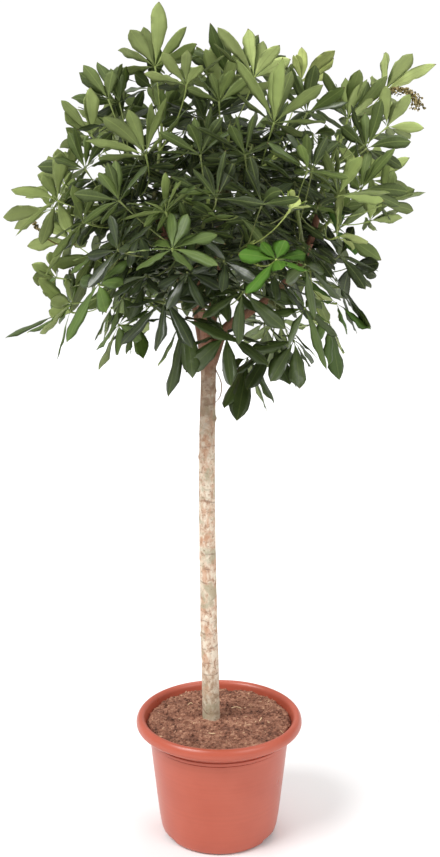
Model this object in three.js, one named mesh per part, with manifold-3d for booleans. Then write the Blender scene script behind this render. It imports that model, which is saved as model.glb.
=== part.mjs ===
// A potted umbrella plant: a dwarf umbrella tree grown as a small standard, with one bare trunk and a
// round crown of palmate leaves, in a round nursery pot. Millimetres, +Z up. The origin lies on the
// pot's axis, on the surface that the pot stands on, and -Y is the front.
import * as THREE from 'three';
import { mergeVertices } from 'three/addons/utils/BufferGeometryUtils.js';
import Module from 'manifold-3d';

const wasm = await Module();
wasm.setup();

// ---- Driving dimensions ----

// Pot
const POT_SEGMENTS = 30;
const POT_HEIGHT = 284;
const RIM_RADIUS = 190; // outside of the rolled rim
const RIM_MOUTH_RADIUS = 169; // inside of the rolled rim
const RIM_DEPTH = 34; // from the top of the rim to its lower lip
const RING_RADIUS = 164.5; // stacking ring under the rim
const BODY_TOP_RADIUS = 159.5;
const BODY_TOP = 226; // height at which the tapering body meets the stacking ring
const BODY_FOOT_RADIUS = 140;
const BODY_FOOT = 50; // height at which the rounded lower corner starts
const FOOT_RADIUS = 121; // outside of the ring that the pot stands on
const FOOT_WIDTH = 20;
const FLOOR_UNDERSIDE = 8;
const WALL = 4;
const NOTCH_HEIGHT = 8; // drainage notches in the foot ring
const NOTCH_WIDTH = 58;
const NOTCH_BEARINGS = [-150, -30, 90]; // degrees from +X

// Soil
const FIT_GAP = 0.35; // clear space between pieces that touch on the real plant
const SOIL_TOP = 266;
const SOIL_RELIEF = 3; // height of the waves on its surface

// Wood
const TRUNK_LINE = [
  [-17, 0, 120], [-18, 0, 265], [-24, 0, 560], [-27, 0, 850], [-23, 0, 1080], [-22, 0, 1150],
];
const TRUNK_SIDES = 10;
const TRUNK_FOOT_RADIUS = 21;
const TRUNK_TOP_RADIUS = 16.5;
const TRUNK_STEPS = 8;
const LIMB_SIDES = 6;
const LIMB_FOOT_RADIUS = 11;
const LIMB_TIP_RADIUS = 6.5;
const LIMB_STEPS = 4;
const LIMBS = {
  left: [[-24, 0, 1105], [-42, -6, 1180], [-64, -14, 1270], [-104, -24, 1345], [-140, -28, 1425]],
  centre: [[-22, 0, 1110], [-14, 8, 1200], [-6, 14, 1300], [0, 16, 1400], [6, 10, 1480]],
  right: [
    [-22, 0, 1090], [14, -14, 1172], [64, -26, 1208], [130, -34, 1260], [180, -38, 1330], [205, -34, 1410],
  ],
  back: [[-22, 2, 1110], [-16, 60, 1190], [-6, 125, 1270], [6, 180, 1360]],
  front: [[-24, -2, 1120], [-34, -55, 1195], [-44, -110, 1265], [-50, -150, 1330]],
};

// Leaves
const LEAFLETS = 7;
const LEAFLETS_BEHIND = 6; // on small leaves and on those of the hidden side
const SMALL_LEAF = 92; // length of the leaflets of a small leaf
const LEAFLET_HALF_WIDTH = 9; // of a leaflet of no length, and what each mm of length adds to it
const LEAFLET_WIDENING = 0.075;
const LEAFLET_HALF_THICKNESS = 0.6;
const HUB_RADIUS = 5.5;
const HUB_HALF_THICKNESS = 1.8;
const PETIOLE_RADIUS = 1.9;
const PETIOLE_STEPS = 2;
const STEM_FOOT_RADIUS = 5.2;
const STEM_TIP_RADIUS = 3.4;
const STEM_SIDES = 5;
const STEM_STEPS = 3;
const STEM_STEP_BACK = 0.06;
const CLEARANCE = 1.2; // kept by a leaflet on all sides
const PETIOLE_CLEARANCE = 1;
const LIGHT_PULL = 350; // the high leaves turn toward the light behind by this much
const LIGHT_FROM = 1250; // height at which they start to turn, and at which they turn fully
const LIGHT_FULL = 1450;
const SIBLING_ROOT = 26; // distance from the hub beyond which a leaf's leaflets keep clear of each other

// Leafy shoots: the limb each grows from and how far along it, the stem's tip, and its leaves. A leaf is
// its hub's x, y and z, its leaflets' length, how far its axis leans outward from upright, and how far
// its leaflets open from that axis, in degrees. A shoot with a number instead grows that many leaves.
const SHOOTS = [
  { limb: 'left', at: 1, tip: [-118, -20, 1580], leaves: [
    [-130, -20, 1705, 155, 36, 56], [-140, 60, 1670, 120, 25, 60], [-65, -70, 1665, 105, 20, 58],
    [-115, 70, 1595, 115, 20, 60]] },
  { limb: 'left', at: 0.95, tip: [-185, -40, 1500], leaves: [
    [-205, -10, 1635, 120, 45, 55], [-260, -40, 1570, 100, 50, 52], [-140, -200, 1525, 140, 38, 58],
    [-225, 60, 1575, 120, 35, 55]] },
  { limb: 'left', at: 0.85, tip: [-235, -30, 1430], leaves: [
    [-335, 60, 1475, 110, 55, 62], [-325, -100, 1440, 125, 62, 82], [-265, -120, 1500, 115, 50, 62],
    [-265, -180, 1400, 105, 55, 85]] },
  { limb: 'left', at: 0.65, tip: [-225, -60, 1300], leaves: [
    [-320, 40, 1355, 105, 60, 72], [-360, 110, 1270, 85, 72, 60], [-325, 90, 1195, 148, 60, 52],
    [-235, -200, 1280, 105, 55, 95]] },
  { limb: 'left', at: 0.4, tip: [-150, -70, 1235], leaves: [
    [-205, -110, 1190, 100, 55, 100], [-180, -20, 1180, 90, 45, 112], [-70, -180, 1210, 130, 30, 115]] },
  { limb: 'front', at: 1, tip: [-95, -220, 1360], leaves: [
    [-85, -340, 1355, 105, 22, 88], [-100, -260, 1420, 105, 30, 70], [-190, -270, 1350, 105, 45, 85],
    [-190, -220, 1440, 110, 45, 70]] },
  { limb: 'front', at: 0.55, tip: [5, -165, 1230], leaves: [
    [15, -190, 1180, 105, 30, 102], [45, -250, 1270, 105, 40, 105], [-105, -250, 1255, 110, 35, 105]] },
  { limb: 'right', at: 0.5, tip: [140, -75, 1215], leaves: [
    [170, -170, 1230, 105, 50, 105], [155, -90, 1155, 118, 40, 112], [60, -30, 1110, 130, 22, 125],
    [100, 60, 1175, 115, 35, 112]] },
  { limb: 'right', at: 0.7, tip: [205, -50, 1310], leaves: [
    [260, 40, 1255, 115, 55, 92], [260, 60, 1320, 105, 55, 75], [165, -230, 1320, 110, 50, 95],
    [230, -60, 1190, 110, 45, 105]] },
  { limb: 'right', at: 0.9, tip: [235, -70, 1410], leaves: [
    [340, 0, 1430, 105, 60, 55], [230, -180, 1370, 115, 50, 62], [325, 60, 1395, 90, 70, 60],
    [280, -140, 1460, 115, 50, 58]] },
  { limb: 'right', at: 1, tip: [215, -60, 1500], leaves: [
    [230, -200, 1450, 120, 40, 60], [290, -130, 1540, 105, 50, 60], [340, -60, 1585, 90, 55, 55]] },
  { limb: 'right', at: 1, tip: [245, 10, 1560], leaves: [
    [265, -20, 1605, 122, 35, 60], [345, 40, 1660, 130, 50, 55]] },
  { limb: 'centre', at: 1, tip: [110, -70, 1520], leaves: [
    [105, -190, 1585, 145, 35, 58], [175, -90, 1610, 110, 25, 60], [175, 80, 1685, 95, 30, 50],
    [50, -220, 1525, 110, 15, 65]] },
  { limb: 'centre', at: 1, tip: [20, -20, 1580], leaves: [
    [30, 30, 1675, 155, 36, 56], [70, -60, 1680, 125, 32, 48], [0, -110, 1630, 85, 20, 55],
    [-30, -10, 1600, 115, 10, 65]] },
  { limb: 'front', at: 1, tip: [60, -220, 1360], leaves: [
    [105, -330, 1335, 105, 28, 85], [130, -310, 1425, 50, 20, 40], [80, -290, 1435, 115, 25, 75]] },
  { limb: 'right', at: 0.8, tip: [150, -190, 1440], leaves: [
    [165, -260, 1495, 100, 30, 75]] },
  { limb: 'front', at: 1, tip: [-20, -210, 1440], leaves: [
    [-5, -300, 1445, 110, 20, 70], [-35, -210, 1525, 115, 15, 62]] },
  { limb: 'back', at: 1, tip: [20, 250, 1480], leaves: 4 },
  { limb: 'back', at: 0.85, tip: [-110, 230, 1430], leaves: 3 },
  { limb: 'back', at: 0.85, tip: [140, 220, 1420], leaves: 3 },
  { limb: 'left', at: 0.9, tip: [-220, 120, 1480], leaves: 3 },
  { limb: 'right', at: 0.95, tip: [230, 120, 1480], leaves: 4 },
  { limb: 'back', at: 0.55, tip: [-130, 180, 1280], leaves: 3 },
  { limb: 'back', at: 0.55, tip: [120, 190, 1260], leaves: 3 },
  { limb: 'back', at: 0.7, tip: [0, 240, 1300], leaves: 3 },
  { limb: 'centre', at: 1, tip: [-40, 120, 1590], leaves: 3 },
  { limb: 'centre', at: 0.9, tip: [80, 110, 1570], leaves: 3 },
  { limb: 'left', at: 0.5, tip: [-190, 70, 1320], leaves: 3 },
  { limb: 'right', at: 0.6, tip: [200, 60, 1290], leaves: 3 },
];

// Dried flower sprays: the leaf each stands beside, as shoot and place in its list, and the points of its
// stalk from that leaf's hub.
const SPRAYS = [
  { name: 'spray_right', shoot: 11, leaf: 1, florets: 6,
    line: [[22, -16, -6], [52, -26, -10], [84, -34, -36]] },
  { name: 'spray_left', shoot: 3, leaf: 0, florets: 4,
    line: [[-28, -20, -6], [-62, -32, 16], [-80, -36, 34]] },
];
const SPRAY_STALK_RADIUS = 1.7;
const SPRAY_STEPS = 4;
const FIRST_FLORET = 0.45; // how far along the stalk
const FLORET_REACH = 13;
const FLORET_RADIUS = 4;
const TWIG_RADIUS = 1;
const SPIRAL = 137.5; // degrees from one floret or leaf to the next round its stem

// Thin dead strand that hangs at the trunk's right side.
const STRAND_LINE = [[-8, -6, 1010], [2, -12, 1024], [5, -14, 1052], [-9, -5, 1086]];
const STRAND_RADIUS = 1.3;

// ---- Helpers ----

const UP = new THREE.Vector3(0, 0, 1);
const radians = THREE.MathUtils.degToRad;
const vector = (coordinates) => new THREE.Vector3(...coordinates);

// Seeded random numbers from 0 to 1, so that the plant always grows alike.
function randomNumbers(seed) {
  let state = seed;
  return () => {
    state = (state + 0x6d2b79f5) | 0;
    let mixed = Math.imul(state ^ (state >>> 15), 1 | state);
    mixed = (mixed + Math.imul(mixed ^ (mixed >>> 7), 61 | mixed)) ^ mixed;
    return ((mixed ^ (mixed >>> 14)) >>> 0) / 4294967296;
  };
}

function solidOfPoints(points, faces) {
  const vertProperties = new Float32Array(points.flatMap((point) => [point.x, point.y, point.z]));
  const triVerts = new Uint32Array(faces.flat());
  return new wasm.Manifold(new wasm.Mesh({ numProp: 3, vertProperties, triVerts }));
}

function solidOfGeometry(geometry) {
  geometry.deleteAttribute('normal');
  geometry.deleteAttribute('uv');
  const welded = mergeVertices(geometry, 1e-4);
  const vertProperties = new Float32Array(welded.attributes.position.array);
  const triVerts = new Uint32Array(welded.index.array);
  return new wasm.Manifold(new wasm.Mesh({ numProp: 3, vertProperties, triVerts }));
}

function meshOf(name, solid, material) {
  const { vertProperties, triVerts } = solid.getMesh();
  const geometry = new THREE.BufferGeometry();
  geometry.setAttribute('position', new THREE.BufferAttribute(vertProperties, 3));
  geometry.setIndex(new THREE.BufferAttribute(triVerts, 1));
  const mesh = new THREE.Mesh(geometry, material);
  mesh.name = name;
  return mesh;
}

const joined = (solids) => wasm.Manifold.union(solids);
const largestBody = (solid) => solid.decompose().sort((a, b) => b.volume() - a.volume())[0];

function touches(solid, other) {
  const a = solid.boundingBox();
  const b = other.boundingBox();
  if ([0, 1, 2].some((axis) => a.max[axis] < b.min[axis] || b.max[axis] < a.min[axis])) return false;
  const shared = solid.intersect(other);
  const touching = !shared.isEmpty();
  shared.delete();
  return touching;
}

// A closed rod with flat sides along a curve, its radius given from 0 at its start to 1 at its end.
function rod(curve, radiusAt, sides, steps) {
  const frames = curve.computeFrenetFrames(steps, false);
  const points = [];
  const faces = [];
  for (let step = 0; step <= steps; step += 1) {
    const centre = curve.getPointAt(step / steps);
    const radius = radiusAt(step / steps);
    for (let side = 0; side < sides; side += 1) {
      const angle = (2 * Math.PI * side) / sides;
      points.push(centre.clone()
        .addScaledVector(frames.normals[step], radius * Math.cos(angle))
        .addScaledVector(frames.binormals[step], radius * Math.sin(angle)));
    }
  }
  for (let step = 0; step < steps; step += 1) {
    for (let side = 0; side < sides; side += 1) {
      const here = step * sides + side;
      const beside = step * sides + ((side + 1) % sides);
      faces.push([here, beside, here + sides], [beside, beside + sides, here + sides]);
    }
  }
  const last = steps * sides;
  for (let side = 1; side < sides - 1; side += 1) {
    faces.push([0, side + 1, side], [last, last + side, last + side + 1]);
  }
  return solidOfPoints(points, faces);
}

// ---- Pot and soil ----

// Inside of the pot as radius and height, from the middle of the floor to the mouth, moved inward.
function potInside(inset) {
  return [
    [0, FLOOR_UNDERSIDE + WALL + 2 + inset],
    [FOOT_RADIUS - inset, FLOOR_UNDERSIDE + WALL + 2 + inset],
    [FOOT_RADIUS + 9 - inset, FLOOR_UNDERSIDE + WALL + 11 + inset],
    [BODY_FOOT_RADIUS - WALL - inset, BODY_FOOT],
    [BODY_TOP_RADIUS - WALL - inset, BODY_TOP],
    [RIM_MOUTH_RADIUS - 2 - inset, SOIL_TOP - 6],
  ];
}

function makePot() {
  const lip = POT_HEIGHT - RIM_DEPTH;
  const outside = [
    [0, FLOOR_UNDERSIDE],
    [FOOT_RADIUS - FOOT_WIDTH, FLOOR_UNDERSIDE],
    [FOOT_RADIUS - FOOT_WIDTH, 0],
    [FOOT_RADIUS, 0],
    [FOOT_RADIUS + 9, 4],
    [BODY_FOOT_RADIUS - 5, 18],
    [BODY_FOOT_RADIUS, BODY_FOOT],
    [BODY_TOP_RADIUS, BODY_TOP],
    [RING_RADIUS - 1.5, BODY_TOP + 3],
    [RING_RADIUS, lip - 4],
    [RIM_RADIUS - 8, lip],
    [RIM_RADIUS, lip + 9],
    [RIM_RADIUS - 2, lip + 23],
    [RIM_RADIUS - 10, POT_HEIGHT - 1],
    [RIM_MOUTH_RADIUS + 4, POT_HEIGHT],
    [RIM_MOUTH_RADIUS, POT_HEIGHT - 7],
  ];
  const profile = [...outside, ...potInside(0).reverse()];
  const shell = new THREE.LatheGeometry(profile.map(([r, z]) => new THREE.Vector2(r, z)), POT_SEGMENTS);
  shell.rotateX(Math.PI / 2);
  let pot = solidOfGeometry(shell);
  for (const bearing of NOTCH_BEARINGS) {
    const notch = new THREE.BoxGeometry(3 * FOOT_WIDTH, NOTCH_WIDTH, 2 * NOTCH_HEIGHT);
    notch.translate(FOOT_RADIUS, 0, 0);
    notch.rotateZ(radians(bearing));
    pot = pot.subtract(solidOfGeometry(notch));
  }
  return pot;
}

function makeSoil(trunkHole) {
  const wall = potInside(FIT_GAP);
  const edge = wall.pop();
  const top = [[edge[0] - 3, SOIL_TOP - 3], [edge[0] - 50, SOIL_TOP], [60, SOIL_TOP + 1], [0, SOIL_TOP + 2]];
  const profile = [...wall, edge, ...top].map(([r, z]) => new THREE.Vector2(r, z));
  const body = new THREE.LatheGeometry(profile, POT_SEGMENTS);
  body.rotateX(Math.PI / 2);
  const position = body.attributes.position;
  for (let index = 0; index < position.count; index += 1) {
    const x = position.getX(index);
    const y = position.getY(index);
    const z = position.getZ(index);
    const wave = Math.sin(x / 19 + 1.3) * Math.cos(y / 23) + 0.5 * Math.sin((x - 2 * y) / 13);
    if (z > SOIL_TOP - 4) position.setZ(index, z + (SOIL_RELIEF * wave) / 1.5);
  }
  return solidOfGeometry(body).subtract(trunkHole);
}

// ---- Wood ----

const curveThrough = (line) => new THREE.CatmullRomCurve3(line.map(vector), false, 'centripetal');
const limbCurves = {};
for (const [name, line] of Object.entries(LIMBS)) limbCurves[name] = curveThrough(line);

// The trunk alone, or with its limbs, each made thicker by the given amount.
function makeTrunk(extra) {
  const radiusAt = (t) => THREE.MathUtils.lerp(TRUNK_FOOT_RADIUS, TRUNK_TOP_RADIUS, t) + extra;
  return rod(curveThrough(TRUNK_LINE), radiusAt, TRUNK_SIDES, TRUNK_STEPS);
}

function makeWood(extra) {
  const radiusAt = (t) => THREE.MathUtils.lerp(LIMB_FOOT_RADIUS, LIMB_TIP_RADIUS, t) + extra;
  const limbs = Object.values(limbCurves).map((curve) => rod(curve, radiusAt, LIMB_SIDES, LIMB_STEPS));
  const strand = rod(curveThrough(STRAND_LINE), () => STRAND_RADIUS + extra, 3, 3);
  return joined([makeTrunk(extra), ...limbs, strand]);
}

// ---- Leaves ----

// Leaves of a shoot on the hidden side: they stand round its tip, the first ones nearest to its line.
function grownLeaves(tip, count, random) {
  const outward = tip.clone().sub(new THREE.Vector3(0, 0, 1380)).normalize();
  const across = new THREE.Vector3().crossVectors(UP, outward).normalize();
  const upward = new THREE.Vector3().crossVectors(outward, across);
  const turn = random() * 2 * Math.PI;
  const rows = [];
  for (let leaf = 0; leaf < count; leaf += 1) {
    const around = turn + radians(SPIRAL) * leaf;
    const spread = radians(28 + (62 * leaf) / (count - 1));
    const reach = 95 + 35 * random();
    const hub = tip.clone()
      .addScaledVector(outward, reach * Math.cos(spread))
      .addScaledVector(across, reach * Math.sin(spread) * Math.cos(around))
      .addScaledVector(upward, reach * Math.sin(spread) * Math.sin(around));
    const height = THREE.MathUtils.clamp((hub.z - 1150) / 500, 0, 1);
    const distance = Math.hypot(hub.x, hub.y) / 350;
    const lean = (15 + 45 * distance) * (1 - 0.35 * height);
    rows.push([hub.x, hub.y, hub.z, 110 + 30 * random(), lean, 108 - 60 * height]);
  }
  return rows;
}

// A leaf's hub, axis and the directions across it, with the run of its leaflets before any is bent.
function readLeaf(row, count, random) {
  const [x, y, z, length, lean, opening] = row;
  const hub = new THREE.Vector3(x, y, z);
  const light = THREE.MathUtils.clamp((z - LIGHT_FROM) / (LIGHT_FULL - LIGHT_FROM), 0, 1);
  const outward = new THREE.Vector3(x, y + LIGHT_PULL * light, 0).normalize();
  const axis = outward.clone().multiplyScalar(Math.sin(radians(lean)))
    .addScaledVector(UP, Math.cos(radians(lean)));
  const sideways = new THREE.Vector3().crossVectors(UP, outward);
  const downhill = new THREE.Vector3().crossVectors(sideways, axis);
  const turn = random() * 2 * Math.PI;
  const leaflets = [];
  for (let index = 0; index < count; index += 1) {
    const around = turn + (2 * Math.PI * (index + 0.3 * (random() - 0.5))) / count;
    const outer = 0.88 + 0.12 * Math.cos(around) * (1 - 2 * light);
    leaflets.push({
      around,
      opening: opening + 14 * (random() - 0.5),
      length: length * outer * (0.92 + 0.16 * random()),
      droop: 0.05 + 0.12 * random(),
      fold: 0.1 + 0.15 * random(),
    });
  }
  return { hub, axis, sideways, downhill, leaflets };
}

// Direction of a leaflet that stands at the given angle round the axis and the given angle from it.
function directions(leaf, around, opening) {
  const radial = leaf.downhill.clone().multiplyScalar(Math.cos(around))
    .addScaledVector(leaf.sideways, Math.sin(around));
  const open = radians(opening);
  return {
    along: leaf.axis.clone().multiplyScalar(Math.cos(open)).addScaledVector(radial, Math.sin(open)),
    normal: leaf.axis.clone().multiplyScalar(Math.sin(open)).addScaledVector(radial, -Math.cos(open)),
  };
}

// Outline and ridge of one leaflet. The outline runs right edge, tip, left edge.
function leafletPoints(leaf, leaflet, extra) {
  const { along, normal } = directions(leaf, leaflet.around, leaflet.opening);
  const right = new THREE.Vector3().crossVectors(along, normal);
  const halfWidth = LEAFLET_HALF_WIDTH + leaflet.length * LEAFLET_WIDENING;
  const at = (share, sideShare) => leaf.hub.clone()
    .addScaledVector(along, leaflet.length * share)
    .addScaledVector(UP, -leaflet.droop * leaflet.length * share * share)
    .addScaledVector(right, sideShare * halfWidth + Math.sign(sideShare) * extra)
    .addScaledVector(normal, Math.abs(sideShare) * halfWidth * leaflet.fold);
  const tip = at(1, 0).addScaledVector(along, extra);
  const ridge = at(0.55, 0);
  return {
    outline: [at(0.36, 0.72), at(0.72, 1), tip, at(0.72, -1), at(0.36, -0.72)],
    upper: ridge.clone().addScaledVector(normal, LEAFLET_HALF_THICKNESS + extra / 2),
    lower: ridge.clone().addScaledVector(normal, -LEAFLET_HALF_THICKNESS - extra / 2),
  };
}

// Points on the hub's edge, between each leaflet and the one before it.
function hubEdge(leaf, fan) {
  const count = fan.length;
  return fan.map((leaflet, index) => {
    const before = fan[(index + count - 1) % count];
    const step = index === 0 ? 2 * Math.PI : 0;
    const around = (leaflet.around + before.around - step) / 2;
    const { along } = directions(leaf, around, (leaflet.opening + before.opening) / 2);
    return leaf.hub.clone().addScaledVector(along, HUB_RADIUS);
  });
}

// A leaf with its petiole as one closed solid: a thin arched blade whose outline is cut to the hub
// between its leaflets, on a three-sided petiole. Where a leaflet is missing the hub's edge runs on.
function leafSolid(leaf, leaflets, stalk) {
  const rings = PETIOLE_STEPS + 1;
  const frames = stalk.computeFrenetFrames(PETIOLE_STEPS, false);
  const points = [];
  const faces = [];
  for (let step = 0; step < rings; step += 1) {
    for (let side = 0; side < 3; side += 1) {
      const angle = (2 * Math.PI * side) / 3;
      points.push(stalk.getPointAt(step / PETIOLE_STEPS)
        .addScaledVector(frames.normals[step], PETIOLE_RADIUS * Math.cos(angle))
        .addScaledVector(frames.binormals[step], PETIOLE_RADIUS * Math.sin(angle)));
    }
  }
  for (let step = 0; step < PETIOLE_STEPS; step += 1) {
    for (let side = 0; side < 3; side += 1) {
      const here = 3 * step + side;
      const beside = 3 * step + ((side + 1) % 3);
      faces.push([here, beside, here + 3], [beside, beside + 3, here + 3]);
    }
  }
  const foot = 3 * PETIOLE_STEPS;
  faces.push([foot, foot + 1, foot + 2]);

  const crest = points.length;
  const fan = leaf.leaflets.map((leaflet, index) => leaflets[index] ?? leaflet);
  points.push(leaf.hub.clone().addScaledVector(leaf.axis, HUB_HALF_THICKNESS), ...hubEdge(leaf, fan));
  const count = fan.length;
  const under = fan.map(({ around }) => {
    const { along } = directions(leaf, around, 90);
    const facing = [0, 1, 2].map((side) => points[side].clone().sub(leaf.hub).dot(along));
    return facing.indexOf(Math.max(...facing));
  });
  leaflets.forEach((leaflet, index) => {
    const rightRoot = crest + 1 + index;
    const leftRoot = crest + 1 + ((index + 1) % count);
    for (let side = under[(index + count - 1) % count]; side !== under[index]; side = (side + 2) % 3) {
      faces.push([rightRoot, side, (side + 2) % 3]);
    }
    if (!leaflet) {
      faces.push([crest, rightRoot, leftRoot], [under[index], leftRoot, rightRoot]);
      return;
    }
    const { outline, upper, lower } = leafletPoints(leaf, leaflet, 0);
    const first = points.length;
    points.push(...outline, upper, lower);
    const edge = [rightRoot, first, first + 1, first + 2, first + 3, first + 4, leftRoot];
    const upperRing = [crest, ...edge];
    const lowerRing = [under[index], ...edge];
    for (let corner = 0; corner < upperRing.length; corner += 1) {
      const next = (corner + 1) % upperRing.length;
      faces.push([first + 5, upperRing[corner], upperRing[next]]);
      faces.push([first + 6, lowerRing[next], lowerRing[corner]]);
    }
  });
  return solidOfPoints(points, faces);
}

// One leaflet alone from a distance off the hub, grown on all sides, to test what it would cross.
function leafletProbe(leaf, leaflet, rootDistance) {
  const { outline, upper, lower } = leafletPoints(leaf, leaflet, CLEARANCE);
  const { along, normal } = directions(leaf, leaflet.around, leaflet.opening);
  const right = new THREE.Vector3().crossVectors(along, normal);
  const root = leaf.hub.clone().addScaledVector(along, rootDistance);
  const rootPoints = [
    root.clone().addScaledVector(right, -3),
    root.clone().addScaledVector(right, 3),
    root.clone().addScaledVector(normal, 2),
    root.clone().addScaledVector(normal, -2),
  ];
  const points = [...outline, ...rootPoints, upper, lower];
  const upperRing = [0, 1, 2, 3, 4, 5, 7, 6];
  const lowerRing = [0, 1, 2, 3, 4, 5, 8, 6];
  const faces = [[5, 8, 7], [6, 7, 8]];
  for (let corner = 0; corner < upperRing.length; corner += 1) {
    const next = (corner + 1) % upperRing.length;
    faces.push([9, upperRing[corner], upperRing[next]], [10, lowerRing[next], lowerRing[corner]]);
  }
  return solidOfPoints(points, faces);
}

// ---- Growing the crown ----

// Ways in which a leaflet gives way to what it would cross: more or less open, turned, shorter.
const GIVING_WAY = [
  [0, 0, 1], [-10, 0, 1], [10, 0, 1], [0, 9, 1], [0, -9, 1], [-20, 0, 1], [20, 0, 1], [-12, 10, 1],
  [-12, -10, 1], [12, 10, 1], [12, -10, 1], [-32, 0, 1], [32, 0, 1], [0, 0, 0.8], [-16, 8, 0.8],
  [16, -8, 0.8], [-30, 8, 0.8], [30, -8, 0.8], [0, 0, 0.62],
];

// Ways in which a petiole's middle is moved aside.
const PETIOLE_BOWS = [
  [0, 0], [14, 0], [-14, 0], [0, 14], [0, -14], [28, 0], [-28, 0], [0, 28], [0, -28], [40, 20], [-40, 20],
  [40, -20], [-40, -20], [60, 0], [-60, 0],
];

function stemCurve(limb, at, tip) {
  const foot = limbCurves[limb].getPointAt(at * 0.985);
  const middle = foot.clone().lerp(tip, 0.5).addScaledVector(UP, -0.1 * foot.distanceTo(tip));
  return new THREE.QuadraticBezierCurve3(foot, middle, tip);
}

function stemRod(curve, extra) {
  const radiusAt = (t) => THREE.MathUtils.lerp(STEM_FOOT_RADIUS, STEM_TIP_RADIUS, t) + extra;
  return rod(curve, radiusAt, STEM_SIDES, STEM_STEPS);
}

// A shoot's stem stands farther back along its limb where another stem is in its way.
function growStem(shoot, stems, wood) {
  for (let at = shoot.at; ; at -= STEM_STEP_BACK) {
    const curve = stemCurve(shoot.limb, at, vector(shoot.tip));
    const free = stemRod(curve, PETIOLE_CLEARANCE).subtract(wood);
    if (at < STEM_STEP_BACK || !stems.some((stem) => touches(free, stem))) return curve;
  }
}

// The petiole's line from the underside of the hub down to the stem.
function petioleCurve(stem, share, leaf, bow) {
  const foot = stem.getPoint(share);
  const start = leaf.hub.clone().addScaledVector(leaf.axis, -HUB_HALF_THICKNESS);
  const reach = foot.distanceTo(start);
  const middle = foot.clone().lerp(start, 0.5)
    .lerp(start.clone().addScaledVector(leaf.axis, -0.5 * reach), 0.5)
    .addScaledVector(leaf.sideways, bow[0])
    .addScaledVector(leaf.downhill, bow[1]);
  return new THREE.QuadraticBezierCurve3(start, middle, foot);
}

function makeShoot(shoot, number, stems, wood) {
  const random = randomNumbers(number + 1);
  const curve = growStem(shoot, stems, wood);
  const behind = typeof shoot.leaves === 'number';
  const rows = behind ? grownLeaves(vector(shoot.tip), shoot.leaves, random) : shoot.leaves;
  const countOf = (row) => (behind || row[3] < SMALL_LEAF ? LEAFLETS_BEHIND : LEAFLETS);
  const leaves = rows.map((row) => readLeaf(row, countOf(row), random));
  const stem = stemRod(curve, 0);
  stems.push(stem.subtract(wood));
  return { name: `shoot_${String(number + 1).padStart(2, '0')}`, curve, leaves, stem, guards: [stem] };
}

// Petioles clear the wood and every other shoot, by a bow in their line.
function placePetioles(shoots, wood) {
  for (const shoot of shoots) {
    const others = [wood, ...shoots.filter((other) => other !== shoot).flatMap((other) => other.guards)];
    const byHeight = [...shoot.leaves].sort((a, b) => b.hub.z - a.hub.z);
    byHeight.forEach((leaf, order) => {
      const share = 0.97 - 0.1 * order;
      const lineOf = (bow) => petioleCurve(shoot.curve, share, leaf, bow);
      const hubGuard = new THREE.OctahedronGeometry(1.4 * HUB_RADIUS, 0);
      hubGuard.translate(...leaf.hub.toArray());
      const guardOf = (bow) => joined([
        rod(lineOf(bow), () => PETIOLE_RADIUS + PETIOLE_CLEARANCE, 3, PETIOLE_STEPS),
        solidOfGeometry(hubGuard.clone()),
      ]);
      const isClear = (bow) => !others.some((other) => touches(guardOf(bow), other));
      const bow = PETIOLE_BOWS.find(isClear) ?? PETIOLE_BOWS[0];
      leaf.stalk = lineOf(bow);
      leaf.guard = guardOf(bow);
      shoot.guards.push(leaf.guard);
    });
  }
}

// Leaflets clear the wood, every stem and petiole, and every leaflet that is there already.
function placeLeaflets(shoots, fixed) {
  const guards = shoots.flatMap((shoot) => shoot.guards);
  const grown = [];
  for (const leaf of shoots.flatMap((shoot) => shoot.leaves)) {
    const [start, middle, end] = [0.15, 0.55, 1].map((share) => leaf.stalk.getPoint(share));
    const ownStalk = new THREE.QuadraticBezierCurve3(start, middle, end);
    const ownGuard = rod(ownStalk, () => PETIOLE_RADIUS + PETIOLE_CLEARANCE / 2, 3, PETIOLE_STEPS);
    const obstacles = [...fixed, ownGuard, ...guards.filter((guard) => guard !== leaf.guard)];
    const siblings = [];
    const leaflets = leaf.leaflets.map((leaflet) => {
      for (const [opening, turn, share] of GIVING_WAY) {
        const bent = {
          ...leaflet,
          opening: leaflet.opening + opening,
          around: leaflet.around + radians(turn),
          length: leaflet.length * share,
        };
        const probe = leafletProbe(leaf, bent, HUB_RADIUS);
        const outer = leafletProbe(leaf, bent, SIBLING_ROOT);
        if ([...obstacles, ...grown].some((other) => touches(probe, other))) continue;
        if (siblings.some((other) => touches(outer, other))) continue;
        siblings.push(outer);
        return bent;
      }
      return null;
    });
    leaf.solid = leafSolid(leaf, leaflets, leaf.stalk);
    grown.push(leaf.solid);
  }
}

// A dried spray: a bent stalk with short twigs round its outer part, each with a shrivelled floret.
function makeSpray(spray, leaf, random) {
  const foot = leaf.stalk.getPoint(0.12);
  const line = spray.line.map((point) => vector(point).add(leaf.hub));
  const curve = new THREE.CatmullRomCurve3([foot, ...line]);
  const parts = [rod(curve, (t) => SPRAY_STALK_RADIUS * (1 - 0.3 * t), 3, SPRAY_STEPS)];
  for (let floret = 0; floret < spray.florets; floret += 1) {
    const root = curve.getPointAt(FIRST_FLORET + ((1 - FIRST_FLORET) * floret) / (spray.florets - 1));
    const around = radians(SPIRAL) * floret;
    const way = new THREE.Vector3(Math.cos(around), Math.sin(around), random() - 0.7).normalize();
    const end = root.clone().addScaledVector(way, FLORET_REACH * (0.8 + 0.4 * random()));
    parts.push(rod(new THREE.LineCurve3(root, end), () => TWIG_RADIUS, 3, 1));
    const head = new THREE.TetrahedronGeometry(FLORET_RADIUS);
    head.translate(end.x, end.y, end.z);
    parts.push(solidOfGeometry(head));
  }
  const seat = rod(leaf.stalk, () => PETIOLE_RADIUS + 2 * FIT_GAP, 3, PETIOLE_STEPS);
  return largestBody(joined(parts).subtract(seat));
}

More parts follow.
